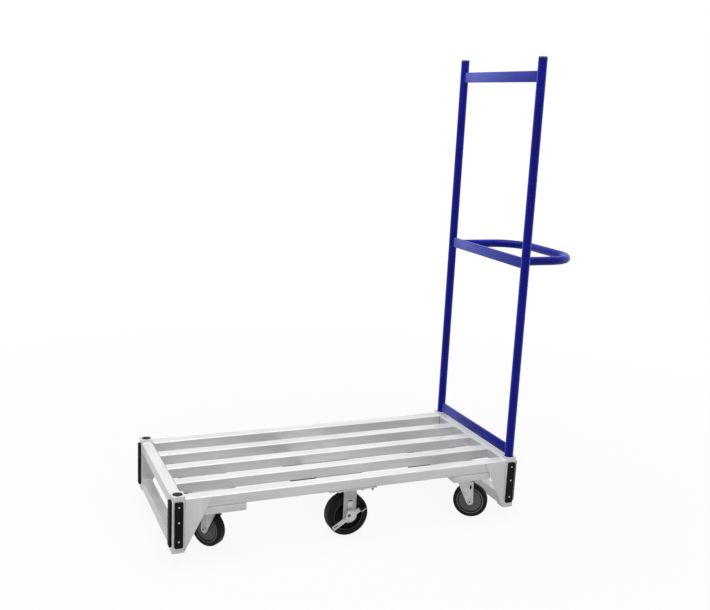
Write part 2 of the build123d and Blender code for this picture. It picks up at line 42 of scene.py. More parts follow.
import bmesh
import bpy
from bmesh.types import BMEdge, BMFace, BMVert
from bpy.props import FloatProperty, FloatVectorProperty, IntProperty, PointerProperty
from mathutils import Matrix, Vector

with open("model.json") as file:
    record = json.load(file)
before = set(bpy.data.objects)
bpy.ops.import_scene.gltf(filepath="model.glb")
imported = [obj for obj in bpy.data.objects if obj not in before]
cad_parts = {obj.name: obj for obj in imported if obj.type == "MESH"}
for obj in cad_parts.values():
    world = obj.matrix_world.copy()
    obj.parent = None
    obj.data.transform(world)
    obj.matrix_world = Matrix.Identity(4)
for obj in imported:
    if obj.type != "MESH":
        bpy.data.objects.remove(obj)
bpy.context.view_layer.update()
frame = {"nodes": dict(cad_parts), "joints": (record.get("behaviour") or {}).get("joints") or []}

SIDES = {"front": -1, "rear": 1}
ENDS = {"left": -1, "right": 1}
CORNERS = [f"{side}_{end}" for side in SIDES for end in ENDS]
LEVELS = ("top", "middle", "bottom")
LONG_TUBES = [
    *(f"{side}_{kind}" for side in SIDES for kind in ("side_rail", "inner_bar")),
    "middle_inner_bar",
]
JOINTS = {joint["name"]: joint for joint in frame["joints"]}
X, Y, Z = range(3)
# A millimetre in metres
MM = 0.001
# Attribute of a mesh that says how its colour is lifted or darkened: 1 where painted lighter, that is
# dust on a tyre's tread and painted highlight, partly with rubbed wear, on eased edges, lip rings and
# fork ribs; -1 where painted shade darkens a bore, groove, dish, hollow or pressed mark
PAINTED_LIGHT_AND_WEAR = "worn"
# Distance within which two vertices are one
MERGE = 1e-6
# Step between faces that would otherwise lie in one plane
HAIR = 1e-4
# Angles between faces: below the first they are one face, above the others an edge is eased or drawn
FLAT = radians(0.5)
SHARP = radians(40)
CREASE = radians(32)
# Rise of a normal below which its face stands upright
UPRIGHT = 0.5
# Part of a tyre's radius outside which its tread is dusty
TREAD_SHARE = 0.97
# Shares of a screw head's diameter and height, from its crown to its seat
SCREW_DOME = ((0.36, 0.94), (0.46, 0.62), (0.5, 0.22), (0.5, 0.0))
SCREW_STEPS = 24
# Pebbles per metre of a moulded face, and how strongly they show
CORE_GRAIN = (700.0, 0.22)
RUBBER_GRAIN = (900.0, 0.3)
LEVER_DASHES = 3
PAD_STRIPS = 9
# Width of the photograph, and how far its frame is shifted up, in pixels
PHOTO_WIDTH = 710
PHOTO_SHIFT = -2


# Settings


def length(name, description, default):
    """Describe a size in metres."""
    return FloatProperty(
        name=name, description=description, default=default, precision=5, unit="LENGTH"
    )


def spot(name, description, default):
    """Describe a place in metres."""
    return FloatVectorProperty(
        name=name,
        description=description,
        default=default,
        size=3,
        subtype="TRANSLATION",
        unit="LENGTH",
    )


def share(name, description, default):
    """Describe a part of a whole, from 0 to 1."""
    return FloatProperty(
        name=name, description=description, default=default, min=0, max=1, subtype="FACTOR"
    )


def whole(name, description, default, low):
    """Describe a whole number with a lower limit."""
    return IntProperty(name=name, description=description, default=default, min=low)


def angle(name, description, default):
    """Describe an angle in radians."""
    return FloatProperty(name=name, description=description, default=default, subtype="ANGLE")


def power(name, description, default):
    """Describe a lamp's power in watts."""
    return FloatProperty(name=name, description=description, default=default, unit="POWER")


def colour(name, description, default):
    """Describe a linear colour."""
    return FloatVectorProperty(
        name=name, description=description, default=default, size=3, min=0, max=1, subtype="COLOR"
    )


class TruckSizes(bpy.types.PropertyGroup):
    """Sizes of the fine pieces."""

    eased_edge: length("Eased edge", "Width of the softened edges of plates and posts", 0.0009)
    weld_radius: length("Weld radius", "Radius of a weld bead", 0.0031)
    weld_pitch: length("Weld pitch", "Distance between the ripples of a weld bead", 0.0024)
    weld_ripple: share("Weld ripple", "How far a ripple draws in", 0.16)
    weld_taper: share("Weld taper", "Size of a weld bead's ends beside its middle", 0.6)
    weld_sides: whole("Weld sides", "Sides of a weld bead's section", 8, 6)
    weld_gap: length("Weld gap", "Bare ends of a seam between the deck's bars", 0.003)
    under_weld_gap: length("Under weld gap", "Bare ends of a seam under the deck", 0.004)
    handle_weld_gap: length("Handle weld gap", "Bare ends of a seam on the handle", 0.002)
    post_weld: share("Post weld", "Size of the upright beads on the posts", 0.9)
    handle_weld: share("Handle weld", "Size of the upright beads on the handle", 0.8)
    lathe_steps: whole("Turned steps", "Steps round a turned piece", 96, 24)
    screw_head: length("Screw head", "Diameter of a bumper screw's head", 0.0075)
    screw_height: length("Screw height", "Height of a bumper screw's head", 0.002)
    screw_sink: length("Screw sink", "Depth of a screw's seat below a bumper's face", 0.003)
    screw_slot: length("Screw slot", "Width of the cross recess in a bumper screw", 0.0010)
    screw_cross: length("Screw cross", "Length of the cross recess in a bumper screw", 0.0040)
    screw_recess: length("Screw recess", "Depth of the cross recess in a bumper screw", 0.0011)
    screw_levels: FloatVectorProperty(
        name="Screw levels",
        description="Heights of the screws above a bumper's lower end",
        default=(0.023, 0.0885, 0.141),
        size=3,
        unit="LENGTH",
    )
    rivet_hollow: length("Rivet hollow", "Radius of the hollow in an axle rivet's end", 0.0034)
    kingpin_radius: length("Kingpin radius", "Radius of a kingpin's shaft", 0.006)
    kingpin_ease: length("Kingpin ease", "Drawing in of a kingpin's shaft", 0.0003)
    rib_reach: length("Rib reach", "Top of the rib on a middle fork above its axle", 0.057)
    fork_edge: length("Fork edge", "Width of the rounded edges of pressed forks", 0.0014)
    lever_tilt: angle("Lever tilt", "Rise of the brake levers at rest", radians(32))
    lever_long: length("Lever long arm", "Reach of a brake lever's bare arm", 0.072)
    lever_short: length("Lever short arm", "Reach of a brake lever's padded arm", 0.066)
    lever_width: length("Lever width", "Width of a brake lever's arms", 0.0165)
    lever_thickness: length("Lever thickness", "Thickness of a brake lever's plate", 0.003)
    lever_root: length("Lever root", "Where a brake lever's arms start inside its hub", 0.0125)
    lever_rim: length("Lever rim", "Width of the raised rim of a brake lever", 0.0024)
    lever_dish: length("Lever dish", "Depth of a brake lever's pressed middle", 0.0010)
    lever_slot: length("Lever slot", "Length of the slot in a brake lever's bare arm", 0.017)
    lever_slot_width: length("Lever slot width", "Width of that slot", 0.0046)
    lever_dash: length("Lever dash", "Length of the pressed dashes along a brake lever", 0.0042)
    lever_dash_width: length("Lever dash width", "Width of those dashes", 0.0020)
    tab_length: length("Tab length", "Length of a brake lever's foot tab", 0.022)
    tab_depth: length("Tab depth", "Reach of a brake lever's foot tab", 0.009)
    hub_diameter: length("Hub diameter", "Diameter of a brake lever's hub plate", 0.044)
    hub_ahead: length("Hub ahead", "Place of a brake lever's hub along its padded arm", 0.0045)
    hub_rise: length("Hub rise", "Place of a brake lever's hub across its arms", 0.006)
    boss_diameter: length("Boss diameter", "Diameter of the cup on a brake lever's hub", 0.040)
    boss_height: length("Boss height", "Height of the cup on a brake lever's hub", 0.012)
    boss_wall: length("Boss wall", "Wall of the cup on a brake lever's hub", 0.002)
    boss_round: share("Boss rounding", "Rounding of the cup's rim, in walls of it", 0.7)
    opening_diameter: length("Opening diameter", "Diameter of the opening in the cup", 0.012)
    opening_back: length("Opening back", "Place of the cup's opening behind its middle", 0.005)
    opening_rise: length("Opening rise", "Place of the cup's opening above its middle", 0.0065)
    pivot_hole: length("Pivot hole", "Diameter of a brake lever's pivot hole", 0.0101)
    pad_thickness: length("Pad thickness", "Thickness of a brake pad", 0.010)
    pad_edge: length("Pad edge", "Rounding of a brake pad's edges", 0.002)
    pad_rib: length("Pad rib", "Depth of the grooves on a brake pad", 0.0009)
    pad_lip: length("Pad lip", "Thickness of a brake pad's lip over the lever's edge", 0.001)


class TruckColours(bpy.types.PropertyGroup):
    """Colours of the finishes."""

    aluminium: colour("Aluminium", "Mill-finish aluminium tube and plate", (0.73, 0.73, 0.735))
    aluminium_dull: colour("Dull aluminium", "Duller drawn streaks of the tube", (0.57, 0.57, 0.575))
    # Painted shade: this dark colour is laid into post bores, pressed dashes and rivet hollows where
    # shade falls
    socket: colour("Socket", "Shaded bores, hollows and pressed marks", (0.13, 0.13, 0.13))
    weld: colour("Weld", "Bare weld beads", (0.70, 0.70, 0.70))
    zinc: colour("Zinc", "Zinc-plated steel", (0.46, 0.455, 0.45))
    zinc_dark: colour("Dark zinc", "Darker mottling of the zinc", (0.28, 0.28, 0.28))
    # Painted light: a brighter copy of the zinc, standing in for the light on the swivel forks, rivets
    # and brake levers
    fresh_zinc: colour("Fresh zinc", "Brighter zinc of swivel forks and levers", (0.70, 0.695, 0.69))
    fresh_zinc_dark: colour("Dark lit zinc", "Mottling of the brighter zinc", (0.38, 0.38, 0.38))
    screw: colour("Screw", "Bright screw heads", (0.75, 0.75, 0.75))
    blue: colour("Blue paint", "Gloss paint of the handle", (0.001, 0.0045, 0.26))
    blue_haze: colour("Blue haze", "Glancing haze of the handle's paint", (0.28, 0.34, 1.0))
    blue_deep: colour("Deep blue", "Thicker runs of the handle's paint", (0.0005, 0.0015, 0.165))
    # Lighter blue of flecks, and of eased edges, where it is partly rubbed wear and partly painted
    # highlight
    blue_wear_and_highlight: colour("Rubbed blue", "Rubbed edges and flecks of the paint", (0.05, 0.06, 0.36))
    cap: colour("Cap", "Moulded tube caps", (0.120, 0.108, 0.092))
    rubber: colour("Rubber", "Bumpers and brake pads", (0.0045, 0.0045, 0.005))
    tyre: colour("Tyre", "Tyre rubber", (0.0045, 0.0045, 0.005))
    tyre_dust: colour("Tyre dust", "Dust on a tyre's tread", (0.022, 0.021, 0.020))
    grey_core: colour("Grey core", "Corner wheel centres", (0.098, 0.098, 0.100))
    black_core: colour("Black core", "Middle wheel centres", (0.008, 0.008, 0.0085))
    floor: colour("Floor", "Pale studio floor", (0.55, 0.55, 0.55))


class TruckStage(bpy.types.PropertyGroup):
    """Camera, lamps and floor."""

    camera_place: spot("Camera place", "Where the camera stands", (-1.36883, -3.05311, 1.48117))
    camera_yaw: angle("Camera yaw", "Turn of the view to the right", 0.409)
    camera_pitch: angle("Camera pitch", "Downward tilt of the view", 0.207)
    camera_roll: angle("Camera roll", "Roll of the view", 0.049)
    lens: FloatProperty(name="Lens", description="Focal length in millimetres", default=47.42)
    frame_shift: FloatProperty(
        name="Frame shift",
        description="Shift of the frame, in widths of it",
        default=PHOTO_SHIFT / PHOTO_WIDTH,
    )
    dome: share("Dome", "Strength of the room's light on the truck", 0.32)
    top_lamp: power("Top lamp", "Power of the lamp overhead", 185)
    top_lamp_size: length("Top lamp size", "Width of the lamp overhead", 4.0)
    top_lamp_place: spot("Top lamp place", "Where the lamp overhead hangs", (-0.3, -0.3, 4.0))
    top_lamp_target: spot("Top lamp target", "What the lamp overhead faces", (-0.1, 0.0, 0.0))
    front_lamp: power("Front lamp", "Power of the lamp in front", 16)
    front_lamp_size: length("Front lamp size", "Width of the lamp in front", 3.0)
    front_lamp_place: spot("Front lamp place", "Where the lamp in front hangs", (-2.6, -3.6, 2.4))
    front_lamp_target: spot("Front lamp target", "What the lamp in front faces", (0.0, 0.0, 0.6))
    floor_glow: share("Floor glow", "How much of the floor's brightness is shadowless", 0.92)
    shadow_reach: length("Shadow reach", "How far from the middle the shadow is full", 0.8)
    shadow_end: length("Shadow end", "How far from the middle the shadow has faded", 3.2)
    floor_size: length("Floor size", "Length of the floor's sides", 60.0)


# Shader nodes


class Sock:
    """A shader socket. Arithmetic on it adds Math nodes."""

    def __init__(self, graph, socket):
        self.graph = graph
        self.socket = socket

    def maths(self, operation, first, second):
        """Add a Math node."""
        return self.graph.node(
            "ShaderNodeMath", {"operation": operation}, {"Value": first, "Value_001": second}
        )

    def __add__(self, other):
        return self.maths("ADD", self, other)

    def __radd__(self, other):
        return self.maths("ADD", other, self)

    def __sub__(self, other):
        return self.maths("SUBTRACT", self, other)

    def __rsub__(self, other):
        return self.maths("SUBTRACT", other, self)

    def __mul__(self, other):
        return self.maths("MULTIPLY", self, other)

    def __rmul__(self, other):
        return self.maths("MULTIPLY", other, self)


class Graph:
    """A node tree, and the one way in which nodes are added to it."""

    def __init__(self, tree):
        self.tree = tree
        tree.nodes.clear()

    def node(self, kind, settings=None, inputs=None, output=None):
        """Add a node: its settings first, then the values or links of its sockets."""
        node = self.tree.nodes.new(kind)
        for key, value in (settings or {}).items():
            setattr(node, key, value)
        sockets = {socket.identifier: socket for socket in node.inputs}
        for key, value in (inputs or {}).items():
            if isinstance(value, Sock):
                self.tree.links.new(value.socket, sockets[key])
            else:
                sockets[key].default_value = value
        results = {socket.identifier: socket for socket in node.outputs}
        return Sock(self, results[output] if output else node.outputs[0]) if results else node

    def mix(self, factor, first, second):
        """Blend two colours."""
        inputs = {"Factor_Float": factor, "A_Color": paint(first), "B_Color": paint(second)}
        return self.node("ShaderNodeMix", {"data_type": "RGBA"}, inputs, "Result_Color")

    def noise(self, place, scale, detail, roughness=0.5):
        """Add soft noise of a scale per metre."""
        inputs = {"Vector": place, "Scale": scale, "Detail": detail, "Roughness": roughness}
        return self.node("ShaderNodeTexNoise", None, inputs)

    def stretched(self, scale=(1.0, 1.0, 1.0)):
        """Give the piece's own coordinates, stretched along each axis."""
        place = self.node("ShaderNodeTexCoord", None, None, "Object")
        return self.node("ShaderNodeMapping", None, {"Vector": place, "Scale": scale})

    def worn(self):
        """Read the mark that paints the piece lighter with wear and highlight, and darker with shade.
        """
        return self.node("ShaderNodeAttribute", {"attribute_name": PAINTED_LIGHT_AND_WEAR}, None, "Fac")

    def span(self, value, low, high, start=0.0, end=1.0):
        """Map a value from one span to another, held at both ends."""
        inputs = {"Value": value, "From Min": low, "From Max": high, "To Min": start, "To Max": end}
        return self.node("ShaderNodeMapRange", None, inputs)

    def bump(self, height, distance, strength):
        """Turn a height from 0 to 1 into a bumped normal."""
        inputs = {"Height": height, "Distance": distance, "Strength": strength}
        return self.node("ShaderNodeBump", None, inputs)


def paint(value):
    """Give a colour an alpha, and leave a socket as it is."""
    return value if isinstance(value, Sock) else (*value, 1.0)


def finish(name, build):
    """Fetch a material by name, or build it the first time it is asked for."""
    material = bpy.data.materials.get(name)
    if material is None:
        material = bpy.data.materials.new(name)
        material.use_nodes = True
        graph = Graph(material.node_tree)
        inputs = build(graph, bpy.context.scene.truck_colours)
        surface = graph.node("ShaderNodeBsdfPrincipled", None, inputs)
        graph.node("ShaderNodeOutputMaterial", None, {"Surface": surface})
    return material


# Finishes


def aluminium(grain):
    """Mill-finish aluminium with drawn streaks along one axis, eased edges painted lighter and marked
    hollows painted dark with shade.
    """

    def build(graph, colours):
        axis = "xyz".index(grain)
        drawn = [520.0] * 3
        drawn[axis] = 3.0
        broad = [16.0] * 3
        broad[axis] = 4.5
        streak = graph.noise(graph.stretched(drawn), 1.0, detail=4.0, roughness=0.62)
        patch = graph.noise(graph.stretched(broad), 1.0, detail=2.0)
        scuff = graph.noise(graph.stretched((70.0, 46.0, 60.0)), 1.0, detail=6.0, roughness=0.7)
        dull = graph.span(patch, 0.36, 0.62, 0.75, 0.0) * 0.6 + graph.span(streak, 0.3, 0.7) * 0.4
        rub = graph.span(scuff, 0.60, 0.72)
        worn = graph.worn()
        tone = graph.mix(dull, colours.aluminium, colours.aluminium_dull)
        # Eased edges are painted lighter, partly rubbed wear and partly painted highlight; marked post
        # bores are painted dark with shade
        tone = graph.mix(rub * 0.25 + worn * 0.5, tone, colours.weld)
        tone = graph.mix(graph.span(worn, 0.0, -1.0), tone, colours.socket)
        return {
            "Base Color": tone,
            "Metallic": 0.22,
            "Roughness": 0.26 + 0.16 * streak - 0.06 * rub,
            "Normal": graph.bump(streak, distance=0.0001, strength=0.35),
        }

    return finish(f"mill_aluminium_{grain}", build)


def weld_metal():
    """Bare weld beads, brighter on their crowns."""

    def build(graph, colours):
        place = graph.stretched()
        soot = graph.noise(place, 240.0, detail=4.0, roughness=0.6)
        fine = graph.noise(place, 1500.0, detail=2.0)
        dull = graph.span(soot, 0.35, 0.68)
        return {
            "Base Color": graph.mix(dull, colours.weld, colours.aluminium_dull),
            "Metallic": 0.6,
            "Roughness": 0.34 + 0.22 * soot,
            "Normal": graph.bump(fine, distance=0.0002, strength=0.4),
        }

    return finish("weld_metal", build)


def zinc_steel(name="zinc_steel_plate", tone_name="zinc"):
    """Zinc-plated pressed steel, mottled with the darker tone of the same name."""

    def build(graph, colours):
        place = graph.stretched()
        cloud = graph.noise(place, 90.0, detail=5.0, roughness=0.66)
        grain = graph.noise(place, 620.0, detail=3.0, roughness=0.6)
        worn = graph.worn()
        mottle = graph.span(cloud, 0.34, 0.66) * 0.45 + graph.span(grain, 0.40, 0.62) * 0.55
        tone = graph.mix(mottle, getattr(colours, tone_name), getattr(colours, f"{tone_name}_dark"))
        # Painted highlight, partly with rubbed wear, lightens eased edges and the middle forks' rib
        # faces; painted shade darkens pressed dashes and rivet hollows
        tone = graph.mix(graph.span(worn, 0.0, 1.0) * 0.55, tone, colours.weld)
        return {
            "Base Color": graph.mix(graph.span(worn, 0.0, -1.0) * 0.8, tone, colours.socket),
            "Metallic": 0.6,
            "Roughness": 0.34 + 0.2 * mottle,
            "Normal": graph.bump(grain, distance=0.0002, strength=0.3),
        }

    return finish(name, build)


def fresh_zinc():
    """Zinc painted brighter, standing in for the light on the swivel forks, rivets and brake levers."""
    return zinc_steel("fresh_zinc_plate", "fresh_zinc")


def bright_steel():
    """Bright screw heads with a turned surface."""

    def build(graph, colours):
        place = graph.stretched()
        turned = graph.noise(place, 900.0, detail=3.0)
        return {
            "Base Color": graph.mix(graph.span(turned, 0.3, 0.75), colours.screw, colours.zinc),
            "Metallic": 0.7,
            "Roughness": 0.22 + 0.18 * turned,
        }

    return finish("bright_screw_steel", build)


def blue_paint(name="gloss_blue_paint", haze=0.8, spread=0.42):
    """Gloss blue paint with a faint orange peel, and a pale haze at a glancing angle."""

    def build(graph, colours):
        place = graph.stretched()
        flow = graph.noise(place, 9.0, detail=3.0)
        peel = graph.noise(place, 420.0, detail=2.0)
        fleck = graph.span(graph.noise(place, 160.0, detail=5.0, roughness=0.7), 0.66, 0.74)
        worn = graph.worn()
        tone = graph.mix(graph.span(flow, 0.3, 0.7), colours.blue, colours.blue_deep)
        # Eased edges of the flat bars are painted lighter, partly rubbed wear and partly painted
        # highlight
        tone = graph.mix(worn * 0.3 + fleck * 0.06, tone, colours.blue_wear_and_highlight)
        return {
            "Base Color": tone,
            "Roughness": 0.24 + 0.1 * peel + 0.1 * fleck,
            "IOR": 1.2,
            "Sheen Weight": haze,
            "Sheen Roughness": spread,
            "Sheen Tint": paint(colours.blue_haze),
            "Normal": graph.bump(peel, distance=0.0003, strength=0.12),
        }

    return finish(name, build)


def moulded(name, tone_name, grain, pale, roughness, shine):
    """Moulded plastic or rubber: a fine pebble, dull patches, lip rings painted lighter and hollows
    painted dark with shade.
    """

    def build(graph, colours):
        pebble, relief = grain
        place = graph.stretched()
        patch = graph.noise(place, 34.0, detail=4.0, roughness=0.6)
        grit = graph.noise(place, pebble, detail=3.0, roughness=0.6)
        worn = graph.worn()
        base = getattr(colours, tone_name)
        spread = graph.span(patch, 0.35, 0.7) * 0.5 + graph.span(grit, 0.45, 0.75) * 0.35
        tone = graph.mix(spread, base, [channel + pale for channel in base])
        # Painted highlight, partly with rubbed wear, lightens the wheels' lip rings; painted shade
        # darkens their grooves and dishes
        tone = graph.mix(graph.span(worn, 0.0, 1.0), tone, [channel + 4 * pale for channel in base])
        tone = graph.mix(graph.span(worn, 0.0, -1.0), tone, [channel * 0.3 for channel in base])
        return {
            "Base Color": tone,
            "Roughness": roughness + 0.2 * patch,
            "Specular IOR Level": shine,
            "Normal": graph.bump(grit, distance=0.0003, strength=relief),
        }

    return finish(name, build)


def grey_core():
    """Grey moulded wheel centres."""
    return moulded("grey_wheel_core", "grey_core", CORE_GRAIN, pale=0.03, roughness=0.42, shine=0.35)


def black_core():
    """Black moulded wheel centres."""
    return moulded("black_wheel_core", "black_core", CORE_GRAIN, pale=0.008, roughness=0.42, shine=0.15)


def bumper_rubber():
    """Black moulded bumpers and brake pads."""
    return moulded("bumper_rubber_black", "rubber", RUBBER_GRAIN, pale=0.003, roughness=0.5, shine=0.1)


def cap_plastic():
    """Dark moulded tube caps."""
    return moulded("cap_plastic_dark", "cap", RUBBER_GRAIN, pale=0.03, roughness=0.42, shine=0.3)


def tyre_rubber():
    """Smooth black rubber with dust on the tread."""

    def build(graph, colours):
        place = graph.stretched()
        dust = graph.noise(place, 120.0, detail=5.0, roughness=0.7)
        grit = graph.noise(place, 1100.0, detail=2.0)
        worn = graph.worn()
        film = graph.span(dust, 0.35, 0.75) * (0.18 + 0.6 * worn)
        return {
            "Base Color": graph.mix(film, colours.tyre, colours.tyre_dust),
            "Roughness": 0.46 + 0.3 * film + 0.1 * dust,
            "Specular IOR Level": 0.14,
            "Normal": graph.bump(grit, distance=0.0002, strength=0.25),
        }

    return finish("tyre_rubber", build)


# Mesh helpers


def dress(nodes, material):
    """Give CAD nodes a finish."""
    for node in nodes:
        slots = frame["nodes"][node].data.materials
        slots.clear()
        slots.append(material)


def place_piece(bm, name, material, body, replaced=()):
    """Write a finished mesh to a named piece that rides on a body."""
    mesh = bpy.data.meshes.new(name)
    bm.to_mesh(mesh)
    bm.free()
    mesh.shade_smooth()
    mesh.set_sharp_from_angle(angle=CREASE)
    mesh.materials.append(material)
    piece = bpy.data.objects.new(name, mesh)
    bpy.context.scene.collection.objects.link(piece)
    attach(piece, body)
    if replaced:
        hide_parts(*replaced)


def picked(made, kind):
    """List the vertices, edges or faces among what an operator made."""
    return [item for item in made["geom"] if isinstance(item, kind)]


def edges_of(items):
    """List the edges of faces, or those that meet at vertices, each once."""
    groups = [item.edges if isinstance(item, BMFace) else item.link_edges for item in items]
    return list(dict.fromkeys(edge for group in groups for edge in group))


def furthest(faces, axis, sign=1):
    """Pick the face whose middle lies furthest along an axis, or against it."""
    return max(faces, key=lambda face: face.calc_center_median()[axis] * sign)


def face_outwards(bm):
    """Turn all faces of closed shells outwards."""
    bmesh.ops.recalc_face_normals(bm, faces=bm.faces[:])


def mark_painted_light_and_wear(bm, faces, amount=1.0):
    """Mark how some faces are painted: lighter with wear and highlight above 0, darker with shade below
    0.
    """
    layers = bm.loops.layers.float
    layer = layers.get(PAINTED_LIGHT_AND_WEAR) or layers.new(PAINTED_LIGHT_AND_WEAR)
    for face in faces:
        for loop in face.loops:
            loop[layer] = amount


def bevel(bm, geom, width, segments=2, affect="EDGES", clamp=False):
    """Round edges or vertices, and list the new faces."""
    made = bmesh.ops.bevel(
        bm,
        geom=geom,
        offset=width,
        offset_type="OFFSET",
        segments=segments,
        profile=0.5,
        affect=affect,
        material=-1,
        clamp_overlap=clamp,
    )
    return made["faces"]


def eased(node, width):
    """Copy a CAD node with its sharp edges softened."""
    bm = bmesh.new()
    bm.from_mesh(frame["nodes"][node].data)
    bmesh.ops.remove_doubles(bm, verts=bm.verts[:], dist=MERGE)
    bmesh.ops.dissolve_limit(bm, angle_limit=FLAT, verts=bm.verts[:], edges=bm.edges[:])
    folds = [edge for edge in bm.edges if len(edge.link_faces) == 2]
    sharp = [edge for edge in folds if edge.calc_face_angle() > SHARP]
    mark_painted_light_and_wear(bm, bm.faces, 0.0)
    # The eased edges are marked to be painted lighter, partly rubbed wear and partly painted highlight
    mark_painted_light_and_wear(bm, bevel(bm, sharp, width, clamp=True))
    return bm


def turn(bm, profile, steps, closed=True):
    """Turn a profile of radius, height and corner rounding, in millimetres, about Z."""
    points = [bm.verts.new((radius * MM, 0, height * MM)) for radius, height, _ in profile]
    for first, second in zip(points, points[1:] + points[:1] if closed else points[1:]):
        bm.edges.new((first, second))
    for point, (_, _, rounding) in zip(points, profile):
        if rounding:
            bevel(bm, [point], rounding * MM, 2 + round(rounding / 2), "VERTICES")
    bmesh.ops.spin(
        bm,
        geom=bm.verts[:] + bm.edges[:],
        cent=(0, 0, 0),
        axis=(0, 0, 1),
        angle=2 * pi,
        steps=steps,
        use_merge=True,
    )
    bmesh.ops.remove_doubles(bm, verts=bm.verts[:], dist=MERGE)
    face_outwards(bm)


def both_faces(half):
    """Complete the profile of a wheel from its half on one side of the middle."""
    return half + [(radius, -height, rounding) for radius, height, rounding in reversed(half)]


def along(direction, origin):
    """Give the frame whose Z follows a direction."""
    return Matrix.Translation(origin) @ Vector(direction).to_track_quat("Z", "Y").to_matrix().to_4x4()


def limit(box, axis, sign):
    """Give where a box ends on one side along an axis."""
    return box[sign > 0][axis]


def joint_frame(name):
    """Give the frame at a joint, with Z along its axis."""
    joint = JOINTS[name]
    return along(joint["axis"], joint["pos_m"])


def bead(bm, rings, sides):
    """Draw a weld bead through a row of ring frames."""
    cap = bmesh.ops.create_circle(bm, cap_ends=True, radius=1.0, segments=sides, matrix=rings[0])
    face = cap["verts"][0].link_faces[0]
    for previous, ring in zip(rings, rings[1:]):
        grown = bmesh.ops.extrude_face_region(bm, geom=[face])
        face = picked(grown, BMFace)[0]
        bmesh.ops.transform(bm, matrix=ring @ previous.inverted(), verts=face.verts[:])


def ring_sizes(count, sizes):
    """List the ripple's radii along a bead, drawn in at both ends."""
    radii = [sizes.weld_radius * (1 - sizes.weld_ripple * (step % 2)) for step in range(count)]
    radii[0] *= sizes.weld_taper
    radii[-1] *= sizes.weld_taper
    return radii


def straight_bead(bm, start, end, sizes, scale=1.0):
    """Lay a bead along a straight seam."""
    start = Vector(start)
    run = Vector(end) - start
    steps = max(3, round(run.length / sizes.weld_pitch))
    turned = run.to_track_quat("Z", "Y").to_matrix().to_4x4()
    rings = []
    for step, radius in enumerate(ring_sizes(steps + 1, sizes)):
        place = Matrix.Translation(start + run * step / steps)
        rings.append(place @ turned @ Matrix.Scale(radius * scale, 4))
    bead(bm, rings, sizes.weld_sides)


def round_bead(bm, base, radius, sizes):
    """Lay a bead round a tube whose axis is the base frame's Z."""
    steps = max(6, round(radius * 2 * pi / sizes.weld_pitch))
    rings = []
    for step, size in enumerate(ring_sizes(steps + 1, sizes)):
        rings.append(
            base
            @ Matrix.Rotation(2 * pi * step / steps, 4, "Z")
            @ Matrix.Translation((radius, 0, 0))
            @ Matrix.Rotation(-pi / 2, 4, "X")
            @ Matrix.Scale(size, 4)
        )
    bead(bm, rings, sizes.weld_sides)


def block(bm, low, high):
    """Add a box between two corners, and list its faces."""
    low, high = Vector(low), Vector(high)
    place = Matrix.Translation((low + high) / 2) @ Matrix.Diagonal((*(high - low), 1.0))
    made = bmesh.ops.create_cube(bm, size=1.0, matrix=place)["verts"]
    return list(dict.fromkeys(face for vert in made for face in vert.link_faces))


def eased_block(bm, low, high, edge):
    """Add a box between two corners, with its edges eased."""
    bevel(bm, edges_of(block(bm, low, high)), edge)


def strips(bm, face, cuts, axis):
    """Slice a flat face at places along an axis, and list the strips in order along it."""
    normal = Vector((0, 0, 0))
    normal[axis] = 1
    faces = [face]
    for cut in cuts:
        verts = dict.fromkeys(vert for part in faces for vert in part.verts)
        geom = [*faces, *edges_of(faces), *verts]
        made = bmesh.ops.bisect_plane(bm, geom=geom, plane_co=normal * cut, plane_no=normal)
        faces = picked(made, BMFace)
    return sorted(faces, key=lambda part: part.calc_center_median()[axis])


def cut_slot(bm, top, under, start, end, width):
    """Cut a slot along X through two facing sides, and give what is left of the top beyond its end."""
    mouths = []
    rests = []
    for face in (top, under):
        _, middle, rest = strips(bm, face, (start, end), X)
        mouths.append(strips(bm, middle, (-width / 2, width / 2), Y)[1])
        rests.append(rest)
    edges = edges_of(mouths)
    bmesh.ops.delete(bm, geom=mouths, context="FACES_ONLY")
    bmesh.ops.bridge_loops(bm, edges=edges)
    return rests[0]


def holed_disc(bm, disc, hole, low, high, steps):
    """Add a flat disc with a hole off its middle. Both are given as X, Y and radius."""
    rims = []
    for x, y, radius in (disc, hole):
        place = Matrix.Translation((x, y, low))
        made = bmesh.ops.create_circle(bm, segments=steps, radius=radius, matrix=place)
        rims += edges_of(made["verts"])
    ring = bmesh.ops.bridge_loops(bm, edges=rims)["faces"]
    grown = bmesh.ops.extrude_face_region(bm, geom=ring)
    bmesh.ops.translate(bm, verts=picked(grown, BMVert), vec=(0, 0, high - low))


def face_radius(face):
    """Measure how far a turned face lies from its axis, in millimetres."""
    return face.calc_center_median().to_2d().length / MM


def turn_wheel_piece(wheel, node, profile, bands, material, sizes):
    """Turn a centre or a tyre, mark its painted bands of shade, lighter rims and tread dust, and set it
    on the wheel's axle.
    """
    bm = bmesh.new()
    turn(bm, both_faces(profile), sizes.lathe_steps)
    mark_painted_light_and_wear(bm, bm.faces, 0.0)
    for inner, outer, amount in bands:
        mark_painted_light_and_wear(bm, [face for face in bm.faces if inner < face_radius(face) < outer], amount)
    bmesh.ops.transform(bm, matrix=joint_frame(f"{wheel}_spin"), verts=bm.verts[:])
    place_piece(bm, f"{node}_turned", material, wheel, [node])


def build_wheel(name, core, bands, tread, sizes, material):
    """Make a wheel's centre and its tyre from their half profiles."""
    wheel = f"{name}_wheel"
    turn_wheel_piece(wheel, f"{wheel}_core", core, bands, material, sizes)
    dusty = [(tread[-1][0] * TREAD_SHARE, inf, 1.0)]
    turn_wheel_piece(wheel, f"{name}_tyre", tread, dusty, tyre_rubber(), sizes)


# Operators


